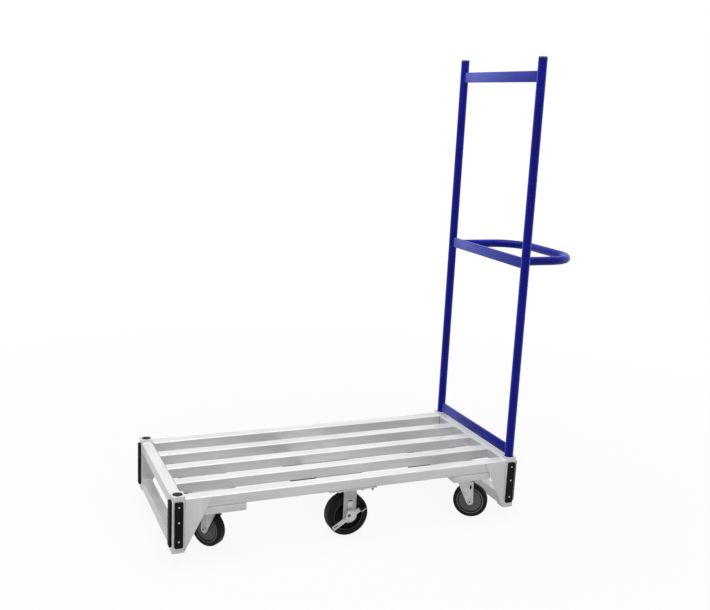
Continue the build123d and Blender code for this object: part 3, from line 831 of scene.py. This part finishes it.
class TruckOperator(bpy.types.Operator):
    """Common base of the truck's operators."""

    bl_options = {"REGISTER", "UNDO"}

    @property
    def sizes(self):
        """Give the sizes that the user has set."""
        return bpy.context.scene.truck_sizes


class TRUCK_OT_deck_tubes(TruckOperator):
    """Give the deck's tubes their drawn aluminium"""

    bl_idname = "truck.deck_tubes"
    bl_label = "Deck tubes"

    def execute(self, context):
        dress(LONG_TUBES, aluminium("x"))
        dress([f"{end}_{kind}" for end in ENDS for kind in ("end_rail", "toe_bar")], aluminium("y"))
        return {"FINISHED"}


class TRUCK_OT_deck_plates(TruckOperator):
    """Ease the edges of posts, gussets, channels and the cross plate"""

    bl_idname = "truck.deck_plates"
    bl_label = "Posts and plates"

    def execute(self, context):
        grains = {f"{corner}_post": "z" for corner in CORNERS}
        grains["post_feet"] = "x"
        for end in ENDS:
            grains[f"{end}_gussets"] = "z"
            grains[f"{end}_caster_channel"] = "y"
        grains["middle_cross_plate"] = "y"
        for node, grain in grains.items():
            bm = eased(node, self.sizes.eased_edge)
            if node.endswith("_post"):
                low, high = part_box(node)
                self.shade_socket(bm, (low + high) / 2, (high.x - low.x) / 2 - self.sizes.eased_edge)
            place_piece(bm, f"{node}_eased", aluminium(grain), "deck", [node])
        return {"FINISHED"}

    @staticmethod
    def shade_socket(bm, middle, reach):
        """Mark the upright faces of a post's bore, which lie inside its outer faces, so that they are
        painted dark as shade.
        """
        upright = [face for face in bm.faces if abs(face.normal.z) < UPRIGHT]
        for face in upright:
            offset = face.calc_center_median() - middle
            if max(abs(offset.x), abs(offset.y)) < reach and offset.dot(face.normal) < 0:
                mark_painted_light_and_wear(bm, [face], -1.0)


class TRUCK_OT_deck_welds(TruckOperator):
    """Lay the weld beads of the deck frame"""

    bl_idname = "truck.deck_welds"
    bl_label = "Deck welds"

    def execute(self, context):
        seams = {
            "inner_bar_welds": self.weld_bars,
            "post_welds": self.weld_posts,
            "underside_welds": self.weld_underside,
        }
        for name, weld in seams.items():
            bm = bmesh.new()
            weld(bm, self.sizes)
            face_outwards(bm)
            place_piece(bm, name, weld_metal(), "deck")
        return {"FINISHED"}

    @staticmethod
    def weld_bars(bm, sizes):
        """Lay beads up the corners of the inner bars' ends."""
        for node in ("front_inner_bar", "middle_inner_bar", "rear_inner_bar"):
            low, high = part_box(node)
            for x in (low.x, high.x):
                for y in (low.y, high.y):
                    foot = (x, y, low.z + sizes.weld_gap)
                    straight_bead(bm, foot, (x, y, high.z - sizes.weld_gap), sizes)

    @staticmethod
    def weld_posts(bm, sizes):
        """Lay beads where the rails and the toe bars meet the posts."""
        gap = sizes.weld_gap
        for corner in CORNERS:
            side, end = corner.split("_")
            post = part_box(f"{corner}_post")
            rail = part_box(f"{side}_side_rail")
            inner_x = limit(post, X, -ENDS[end])
            inner_y = limit(post, Y, -SIDES[side])
            top = limit(rail, Z, 1)
            start = (inner_x, limit(rail, Y, SIDES[side]), top)
            straight_bead(bm, start, (inner_x, limit(rail, Y, -SIDES[side]), top), sizes)
            for node in (f"{end}_end_rail", f"{end}_toe_bar"):
                low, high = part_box(node)
                for x in (low.x, high.x):
                    foot = (x, inner_y, low.z + gap)
                    straight_bead(bm, foot, (x, inner_y, high.z - gap), sizes, sizes.post_weld)
                start = (low.x + gap, inner_y, high.z)
                straight_bead(bm, start, (high.x - gap, inner_y, high.z), sizes)

    @staticmethod
    def weld_underside(bm, sizes):
        """Lay beads where the long tubes cross the channels and the cross plate."""
        gap = sizes.under_weld_gap
        for node in ("left_caster_channel", "right_caster_channel", "middle_cross_plate"):
            low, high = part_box(node)
            for tube in LONG_TUBES:
                tube_low, tube_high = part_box(tube)
                for x in (low.x, high.x):
                    start = (x, tube_low.y + gap, high.z)
                    straight_bead(bm, start, (x, tube_high.y - gap, high.z), sizes)


class TRUCK_OT_bumpers(TruckOperator):
    """Give the corner bumpers their moulded rubber"""

    bl_idname = "truck.bumpers"
    bl_label = "Bumpers"

    def execute(self, context):
        dress(["side_bumpers", "end_bumpers"], bumper_rubber())
        return {"FINISHED"}


class TRUCK_OT_handle(TruckOperator):
    """Paint the handle's tubes and ease the edges of its flat bars"""

    bl_idname = "truck.handle"
    bl_label = "Handle"

    def execute(self, context):
        gloss = blue_paint()
        hazy = blue_paint("hazy_blue_paint", haze=1.0, spread=0.55)
        dress(["front_upright", "rear_upright", "push_loop"], gloss)
        for level, coat in zip(LEVELS, (hazy, hazy, gloss)):
            node = f"{level}_cross_bar"
            bm = eased(node, self.sizes.eased_edge)
            place_piece(bm, f"{node}_eased", coat, "handle", [node])
        dress(["upright_caps"], cap_plastic())
        return {"FINISHED"}


class TRUCK_OT_handle_welds(TruckOperator):
    """Lay the painted welds of the handle"""

    bl_idname = "truck.handle_welds"
    bl_label = "Handle welds"

    def execute(self, context):
        sizes = self.sizes
        gap = sizes.handle_weld_gap
        beads = bmesh.new()
        tube_low, tube_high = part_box("front_upright")
        radius = (tube_high.x - tube_low.x) / 2
        for level in LEVELS:
            low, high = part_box(f"{level}_cross_bar")
            half = (high.x - low.x) / 2
            for side, sign in SIDES.items():
                tube_low, tube_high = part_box(f"{side}_upright")
                middle = (tube_low.y + tube_high.y) / 2
                seam = middle - sign * (radius**2 - half**2) ** 0.5
                for x in (low.x, high.x):
                    foot = (x, seam, low.z + gap)
                    straight_bead(beads, foot, (x, seam, high.z - gap), sizes, sizes.handle_weld)
        low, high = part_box("middle_cross_bar")
        loop_low, loop_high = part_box("push_loop")
        for y in (loop_low.y + radius, loop_high.y - radius):
            foot = (high.x, y, (low.z + high.z) / 2)
            round_bead(beads, along((1, 0, 0), foot), radius, sizes)
        face_outwards(beads)
        place_piece(beads, "handle_welds", blue_paint(), "handle")
        return {"FINISHED"}


class TRUCK_OT_bumper_screws(TruckOperator):
    """Set the domed cross-recess screws in the bumpers"""

    bl_idname = "truck.bumper_screws"
    bl_label = "Bumper screws"

    def execute(self, context):
        sizes = self.sizes
        bm = bmesh.new()
        side_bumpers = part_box("side_bumpers")
        end_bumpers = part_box("end_bumpers")
        for corner in CORNERS:
            side, end = corner.split("_")
            y_sign, x_sign = SIDES[side], ENDS[end]
            low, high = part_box(f"{corner}_post")
            middle = (low + high) / 2
            side_y = limit(side_bumpers, Y, y_sign) - y_sign * sizes.screw_sink
            end_x = limit(end_bumpers, X, x_sign) - x_sign * sizes.screw_sink
            for level in sizes.screw_levels:
                height = limit(side_bumpers, Z, -1) + level
                self.screw(bm, along((0, y_sign, 0), (middle.x, side_y, height)), sizes)
                self.screw(bm, along((x_sign, 0, 0), (end_x, middle.y, height)), sizes)
        face_outwards(bm)
        place_piece(bm, "bumper_screw_heads", bright_steel(), "deck", ["bumper_screws"])
        return {"FINISHED"}

    @staticmethod
    def screw(bm, base, sizes):
        """Model one head: a cross recess in a crown, and a dome down to the seat."""
        reach = sizes.screw_cross / 2
        slot = sizes.screw_slot / 2
        quarter = [(slot, reach), (slot, slot), (reach, slot)]
        outline = []
        for turns in range(4):
            spin = Matrix.Rotation(-turns * pi / 2, 4, "Z")
            outline += [spin @ Vector((x, y, sizes.screw_height)) for x, y in quarter]
        verts = [bm.verts.new(point) for point in outline]
        cross = bm.faces.new(verts)
        rim = cross.edges[:]
        grown = bmesh.ops.extrude_face_region(bm, geom=[cross])
        sunk = picked(grown, BMVert)
        bmesh.ops.translate(bm, verts=sunk, vec=(0, 0, -sizes.screw_recess))
        (spread, rise), *dome = SCREW_DOME
        crown = bmesh.ops.create_circle(
            bm,
            segments=SCREW_STEPS,
            radius=sizes.screw_head * spread,
            matrix=Matrix.Translation((0, 0, sizes.screw_height * rise)),
        )
        ring = edges_of(crown["verts"])
        bmesh.ops.bridge_loops(bm, edges=rim + ring)
        made = verts + sunk + crown["verts"]
        for spread, rise in dome:
            grown = bmesh.ops.extrude_edge_only(bm, edges=ring)
            step = picked(grown, BMVert)
            ring = picked(grown, BMEdge)
            for vert in step:
                flat = Vector((vert.co.x, vert.co.y, 0)).normalized() * sizes.screw_head * spread
                vert.co = (flat.x, flat.y, sizes.screw_height * rise)
            made += step
        bmesh.ops.edgeloop_fill(bm, edges=ring)
        bmesh.ops.transform(bm, matrix=base, verts=made)


class TRUCK_OT_casters(TruckOperator):
    """Ease and plate the caster forks, plates, pins and bolts"""

    bl_idname = "truck.casters"
    bl_label = "Caster forks and plates"

    def execute(self, context):
        sizes = self.sizes
        for corner in CORNERS:
            node = f"{corner}_fork"
            bm = eased(node, sizes.fork_edge)
            place_piece(bm, f"{node}_pressed", fresh_zinc(), f"{corner}_swivel", [node])
            self.rivet(corner, sizes)
        for side, sign in SIDES.items():
            node = f"{side}_middle_fork"
            bm = eased(node, sizes.fork_edge)
            top = JOINTS[f"{side}_middle_wheel_spin"]["pos_m"][Z] + sizes.rib_reach
            leg = [face for face in bm.faces if face.calc_center_median().z < top]
            # Painted highlight: the outer face of each leg's rib is painted lighter
            mark_painted_light_and_wear(bm, [furthest(leg, Y, sign)])
            place_piece(bm, f"{node}_pressed", zinc_steel(), "deck", [node])
        for node in ("caster_plates", "kingpins", "caster_bolts", "middle_axles"):
            bm = eased(node, sizes.eased_edge)
            if node == "kingpins":
                self.slim(bm, sizes)
            place_piece(bm, f"{node}_eased", zinc_steel(), "deck", [node])
        return {"FINISHED"}

    @staticmethod
    def slim(bm, sizes):
        """Draw the kingpins' shafts in a little, so that their facets clear the forks' bores."""
        factor = 1 - sizes.kingpin_ease / sizes.kingpin_radius
        reach = sizes.kingpin_radius + sizes.kingpin_ease
        for corner in CORNERS:
            axis = Vector(JOINTS[f"{corner}_swivel_turn"]["pos_m"])
            shaft = [vert for vert in bm.verts if (vert.co - axis).xy.length < reach]
            bmesh.ops.scale(bm, vec=(factor, factor, 1), space=Matrix.Translation(-axis), verts=shaft)

    @staticmethod
    def rivet(corner, sizes):
        """Turn a hollow-ended axle rivet and the sleeve that its wheel runs on."""
        bm = bmesh.new()
        # Outline of one end from the axis outwards, as turn() takes it
        end = [
            (0, 21.5, 0),
            (2.9, 21.5, 0.4),
            (3.5, 27.0, 0.3),
            (5.0, 27.4, 0.6),
            (6.2, 26.2, 0.5),
            (8.6, 25.6, 0.8),
            (9.0, 23.0, 0.3),
            (5.0, 23.0, 0),
        ]
        turn(bm, both_faces(end), sizes.lathe_steps // 2, closed=False)
        mark_painted_light_and_wear(bm, bm.faces, 0.0)
        # Painted shade: the hollow in the rivet's end is painted dark
        hollow = [face for face in bm.faces if face_radius(face) < sizes.rivet_hollow / MM]
        mark_painted_light_and_wear(bm, hollow, -1.0)
        sleeve = bmesh.new()
        turn(sleeve, both_faces([(5.0, 19.0, 0), (8.0, 19.0, 0.3)]), sizes.lathe_steps // 2)
        joined = bpy.data.meshes.new("sleeve")
        sleeve.to_mesh(joined)
        sleeve.free()
        bm.from_mesh(joined)
        bpy.data.meshes.remove(joined)
        bmesh.ops.transform(bm, matrix=joint_frame(f"{corner}_wheel_spin"), verts=bm.verts[:])
        node = f"{corner}_axle"
        place_piece(bm, f"{node}_rivet", fresh_zinc(), f"{corner}_swivel", [node])


class TRUCK_OT_corner_wheels(TruckOperator):
    """Turn the corner wheels: grey moulded centres in thin black tyres"""

    bl_idname = "truck.corner_wheels"
    bl_label = "Corner wheels"

    def execute(self, context):
        # Outlines from the bore outwards, as turn() takes them; bands are radii and a paint mark: -1 is
        # painted shade in the groove, 1 lightens the lip ring, partly rubbed wear and partly painted
        # highlight
        core = [
            (8.05, 18.4, 0.4),
            (14.6, 18.4, 0.8),
            (17.0, 16.6, 0.8),
            (17.4, 13.0, 0.8),
            (21.0, 12.0, 0.6),
            (40.2, 12.0, 0.6),
            (42.2, 11.0, 0.5),
            (42.8, 7.4, 0.5),
            (46.4, 7.4, 0.5),
            (46.9, 14.2, 0.4),
            (49.4, 14.2, 0.4),
            (50.0, 13.2, 0),
        ]
        bands = [(42.4, 46.7, -1.0), (46.7, 49.8, 1.0)]
        tread = [(50.0, 13.2, 0), (50.6, 15.4, 0.5), (53.0, 16.0, 0.6), (63.5, 16.0, 6.5)]
        for corner in CORNERS:
            build_wheel(corner, core, bands, tread, self.sizes, grey_core())
        return {"FINISHED"}


class TRUCK_OT_middle_wheels(TruckOperator):
    """Turn the middle wheels: black dished centres in broad black tyres"""

    bl_idname = "truck.middle_wheels"
    bl_label = "Middle wheels"

    def execute(self, context):
        # Outlines from the bore outwards, as turn() takes them; bands are radii and a paint mark: -1 is
        # painted shade in the dish, 1 lightens the lip ring, partly rubbed wear and partly painted
        # highlight
        core = [
            (8.05, 28.0, 0.4),
            (19.4, 28.0, 0.8),
            (22.0, 25.6, 0.8),
            (22.4, 9.0, 1.0),
            (25.0, 7.2, 1.0),
            (46.8, 7.2, 1.2),
            (50.2, 9.6, 1.0),
            (51.0, 22.6, 0.6),
            (52.0, 23.5, 0.5),
            (55.3, 23.5, 0.4),
            (56.0, 22.2, 0),
        ]
        bands = [(22.3, 50.9, -1.0), (50.9, 55.8, 1.0)]
        tread = [(56.0, 22.2, 0), (56.8, 24.6, 0.7), (61.0, 25.5, 1.5), (76.2, 25.5, 10.5)]
        for side in SIDES:
            name = f"{side}_middle"
            build_wheel(name, core, bands, tread, self.sizes, black_core())
        return {"FINISHED"}


class TRUCK_OT_brakes(TruckOperator):
    """Press the brake levers and mould their pads"""

    bl_idname = "truck.brakes"
    bl_label = "Brake levers"

    def execute(self, context):
        sizes = self.sizes
        tilt = sizes.lever_tilt
        for side, sign in SIDES.items():
            pivot = Vector(JOINTS[f"{side}_brake_tip"]["pos_m"])
            ahead = Vector((cos(tilt), 0, sin(tilt)))
            rise = Vector((-sin(tilt), 0, cos(tilt)))
            axes = Matrix((ahead, rise, Vector((0, sign, 0)))).transposed().to_4x4()
            base = Matrix.Translation(pivot) @ axes
            pieces = {
                "lever": (self.lever(sizes), "pressed", fresh_zinc(), "zinc_steel"),
                "pad": (self.pad(sizes), "ribbed", bumper_rubber(), "bumper_rubber"),
            }
            for kind, (bm, ending, material, slot) in pieces.items():
                bmesh.ops.transform(bm, matrix=base, verts=bm.verts[:])
                face_outwards(bm)
                node = f"{side}_brake_{kind}"
                place_piece(bm, f"{node}_{ending}", material, f"{side}_brake", [node])
        return {"FINISHED"}

    def lever(self, sizes):
        """Model a lever in its own frame: X along the padded arm, Z away from the wheel."""
        bm = bmesh.new()
        self.hub(bm, sizes)
        dashes = self.arm(bm, sizes, -sizes.lever_long, -sizes.lever_root)
        dashes += self.arm(bm, sizes, sizes.lever_root, sizes.lever_short)
        slope = sizes.lever_dash_width / 8
        bmesh.ops.inset_individual(bm, faces=dashes, thickness=slope, depth=-sizes.lever_dish)
        # Painted shade: the pressed dashes are painted dark
        mark_painted_light_and_wear(bm, dashes, -1.0)
        thickness = sizes.lever_thickness
        edge = -sizes.lever_width / 2
        low = (sizes.lever_short - sizes.tab_length, edge, thickness / 2)
        high = (sizes.lever_short, edge + thickness, thickness + sizes.tab_depth)
        eased_block(bm, low, high, sizes.eased_edge)
        return bm

    @staticmethod
    def hub(bm, sizes):
        """Turn the cup with its opening, and set the hub plate under it."""
        steps = sizes.lathe_steps // 2
        x, y = sizes.hub_ahead, sizes.hub_rise
        base = sizes.lever_thickness
        crown = base + sizes.boss_height
        rim = sizes.boss_diameter / 2
        inner = rim - sizes.boss_wall
        rounding = sizes.boss_wall * sizes.boss_round
        wall = [(inner, base, 0), (rim, base, 0), (rim, crown, rounding), (inner, crown, 0)]
        turn(bm, [[size / MM for size in corner] for corner in wall], steps)
        bmesh.ops.translate(bm, verts=bm.verts[:], vec=(x, y, 0))
        opening = (x - sizes.opening_back, y + sizes.opening_rise, sizes.opening_diameter / 2)
        holed_disc(bm, (x, y, inner), opening, crown - sizes.boss_wall, crown, steps)
        pivot = (0, 0, sizes.pivot_hole / 2)
        holed_disc(bm, (x, y, sizes.hub_diameter / 2), pivot, 0, base + HAIR, steps)

    @staticmethod
    def arm(bm, sizes, start, end):
        """Press one arm, with a slot if it is the bare one, and list the faces of its dashes."""
        half = sizes.lever_width / 2
        rim = sizes.lever_rim
        faces = block(bm, (start, -half, 0), (end, half, sizes.lever_thickness))
        top = furthest(faces, Z)
        under = furthest(faces, Z, -1)
        bmesh.ops.inset_region(
            bm, faces=[top], thickness=rim, depth=-sizes.lever_dish, use_even_offset=True
        )
        first = sizes.hub_ahead + sizes.hub_diameter / 2
        if start < 0:
            slot = start + 2 * rim
            first = slot + sizes.lever_slot
            top = cut_slot(bm, top, under, slot, first, sizes.lever_slot_width)
        reach = sizes.lever_dash_width / 2
        dashes = []
        for step in range(LEVER_DASHES):
            low = first + sizes.lever_dash * (1 + 2 * step)
            _, middle, top = strips(bm, top, (low, low + sizes.lever_dash), X)
            dashes.append(strips(bm, middle, (-reach, reach), Y)[1])
        return dashes

    @staticmethod
    def pad(sizes):
        """Model a ribbed pad on the foot tab, in the lever's frame."""
        bm = bmesh.new()
        start = sizes.lever_short - sizes.tab_length
        base = sizes.lever_thickness
        low = base - sizes.lever_width / 2
        high = low + sizes.pad_thickness
        end = (sizes.lever_short, high, base + sizes.tab_depth)
        eased_block(bm, (start, low, base), end, sizes.pad_edge)
        top = furthest(bm.faces, Y)
        pitch = (sizes.tab_length - 2 * sizes.pad_edge) / PAD_STRIPS
        cuts = [start + sizes.pad_edge + pitch * step for step in range(1, PAD_STRIPS)]
        grooves = strips(bm, top, cuts, X)[1::2]
        depth = sizes.pad_rib
        bmesh.ops.inset_individual(bm, faces=grooves, thickness=depth / 2, depth=-depth)
        lip = sizes.pad_lip
        end = (sizes.lever_short + lip, sizes.lever_width / 2 + lip, base + lip)
        eased_block(bm, (start, high - sizes.pad_edge, lip), end, lip / 3)
        return bm


class TRUCK_OT_stage(TruckOperator):
    """Set the floor, the lamps, the room's light and the camera"""

    bl_idname = "truck.stage"
    bl_label = "Stage"

    def execute(self, context):
        stage = context.scene.truck_stage
        self.make_floor(context, stage)
        self.make_world(context, stage)
        for name in ("top_lamp", "front_lamp"):
            self.make_lamp(context, stage, name)
        self.make_camera(context, stage)
        context.scene.view_settings.view_transform = "Standard"
        return {"FINISHED"}

    @staticmethod
    def seen(graph):
        """Mask the rays that see the background: straight, mirrored or through something."""
        mask = 0.0
        for ray in ("Is Camera Ray", "Is Glossy Ray", "Is Transmission Ray"):
            mask = graph.node("ShaderNodeLightPath", None, None, ray) + mask
        return graph.span(mask, 0.0, 1.0)

    def make_floor(self, context, stage):
        """Lay a pale floor that keeps the truck's shadow."""
        bm = bmesh.new()
        bmesh.ops.create_grid(bm, x_segments=1, y_segments=1, size=stage.floor_size / 2)
        mesh = bpy.data.meshes.new("studio_floor")
        bm.to_mesh(mesh)
        bm.free()
        material = bpy.data.materials.new("studio_floor_pale")
        material.use_nodes = True
        graph = Graph(material.node_tree)
        tone = context.scene.truck_colours.floor
        seen = self.seen(graph)
        place = graph.stretched()
        reach = graph.node("ShaderNodeVectorMath", {"operation": "LENGTH"}, {"Vector": place}, "Value")
        glow_share = graph.span(reach, stage.shadow_reach, stage.shadow_end, stage.floor_glow, 1.0)
        plain = graph.node("ShaderNodeBsdfDiffuse", None, {"Color": paint(tone)})
        white = graph.node("ShaderNodeEmission", None, {"Color": (1, 1, 1, 1), "Strength": 1.0})
        glow = {"Fac": seen * glow_share, "Shader": plain, "Shader_001": white}
        surface = graph.node("ShaderNodeMixShader", None, glow)
        graph.node("ShaderNodeOutputMaterial", None, {"Surface": surface})
        mesh.materials.append(material)
        floor = bpy.data.objects.new("studio_floor", mesh)
        context.scene.collection.objects.link(floor)

    def make_world(self, context, stage):
        """Fill the room with white that lights the truck more softly than it shows."""
        world = bpy.data.worlds.new("studio_room")
        world.use_nodes = True
        context.scene.world = world
        graph = Graph(world.node_tree)
        strength = stage.dome + (1 - stage.dome) * self.seen(graph)
        light = graph.node("ShaderNodeBackground", None, {"Color": (1, 1, 1, 1), "Strength": strength})
        graph.node("ShaderNodeOutputWorld", None, {"Surface": light})

    @staticmethod
    def make_lamp(context, stage, name):
        """Hang a square soft lamp that faces its target."""
        lamp = bpy.data.lights.new(name, "AREA")
        lamp.energy = getattr(stage, name)
        lamp.size = getattr(stage, f"{name}_size")
        place = Vector(getattr(stage, f"{name}_place"))
        facing = Vector(getattr(stage, f"{name}_target")) - place
        turned = facing.to_track_quat("-Z", "Y").to_matrix().to_4x4()
        holder = bpy.data.objects.new(name, lamp)
        holder.matrix_world = Matrix.Translation(place) @ turned
        context.scene.collection.objects.link(holder)

    @staticmethod
    def make_camera(context, stage):
        """Stand the camera where the photograph was taken."""
        yaw, pitch, roll = stage.camera_yaw, stage.camera_pitch, stage.camera_roll
        ahead = Vector((sin(yaw) * cos(pitch), cos(yaw) * cos(pitch), -sin(pitch)))
        level = Vector((cos(yaw), -sin(yaw), 0))
        upright = level.cross(ahead)
        right = cos(roll) * level + sin(roll) * upright
        above = cos(roll) * upright - sin(roll) * level
        camera = bpy.data.cameras.new("photo_camera")
        camera.lens = stage.lens
        camera.shift_y = stage.frame_shift
        camera.clip_end = stage.floor_size
        holder = bpy.data.objects.new("photo_camera", camera)
        axes = Matrix((right, above, -ahead)).transposed().to_4x4()
        holder.matrix_world = Matrix.Translation(stage.camera_place) @ axes
        context.scene.collection.objects.link(holder)
        context.scene.camera = holder


class TRUCK_PT_pieces(bpy.types.Panel):
    """List the truck's pieces and settings"""

    bl_idname = "TRUCK_PT_pieces"
    bl_label = "Platform truck"
    bl_space_type = "VIEW_3D"
    bl_region_type = "UI"
    bl_category = "Truck"

    def draw(self, context):
        for operator in OPERATORS:
            self.layout.operator(operator.bl_idname)
        scene = context.scene
        for group in (scene.truck_sizes, scene.truck_colours, scene.truck_stage):
            box = self.layout.box()
            for key in group.bl_rna.properties.keys():
                if key not in ("rna_type", "name"):
                    box.prop(group, key)


OPERATORS = (
    TRUCK_OT_deck_tubes,
    TRUCK_OT_deck_plates,
    TRUCK_OT_deck_welds,
    TRUCK_OT_bumpers,
    TRUCK_OT_bumper_screws,
    TRUCK_OT_casters,
    TRUCK_OT_corner_wheels,
    TRUCK_OT_middle_wheels,
    TRUCK_OT_brakes,
    TRUCK_OT_handle,
    TRUCK_OT_handle_welds,
    TRUCK_OT_stage,
)
CLASSES = (TruckSizes, TruckColours, TruckStage, *OPERATORS, TRUCK_PT_pieces)


def register():
    for each in CLASSES:
        bpy.utils.register_class(each)
    bpy.types.Scene.truck_sizes = PointerProperty(type=TruckSizes)
    bpy.types.Scene.truck_colours = PointerProperty(type=TruckColours)
    bpy.types.Scene.truck_stage = PointerProperty(type=TruckStage)


def unregister():
    del bpy.types.Scene.truck_stage
    del bpy.types.Scene.truck_colours
    del bpy.types.Scene.truck_sizes
    for each in reversed(CLASSES):
        bpy.utils.unregister_class(each)


def main():
    """Build every piece in order."""
    register()
    for operator in OPERATORS:
        group, name = operator.bl_idname.split(".")
        getattr(getattr(bpy.ops, group), name)()


if __name__ == "__main__":
    main()
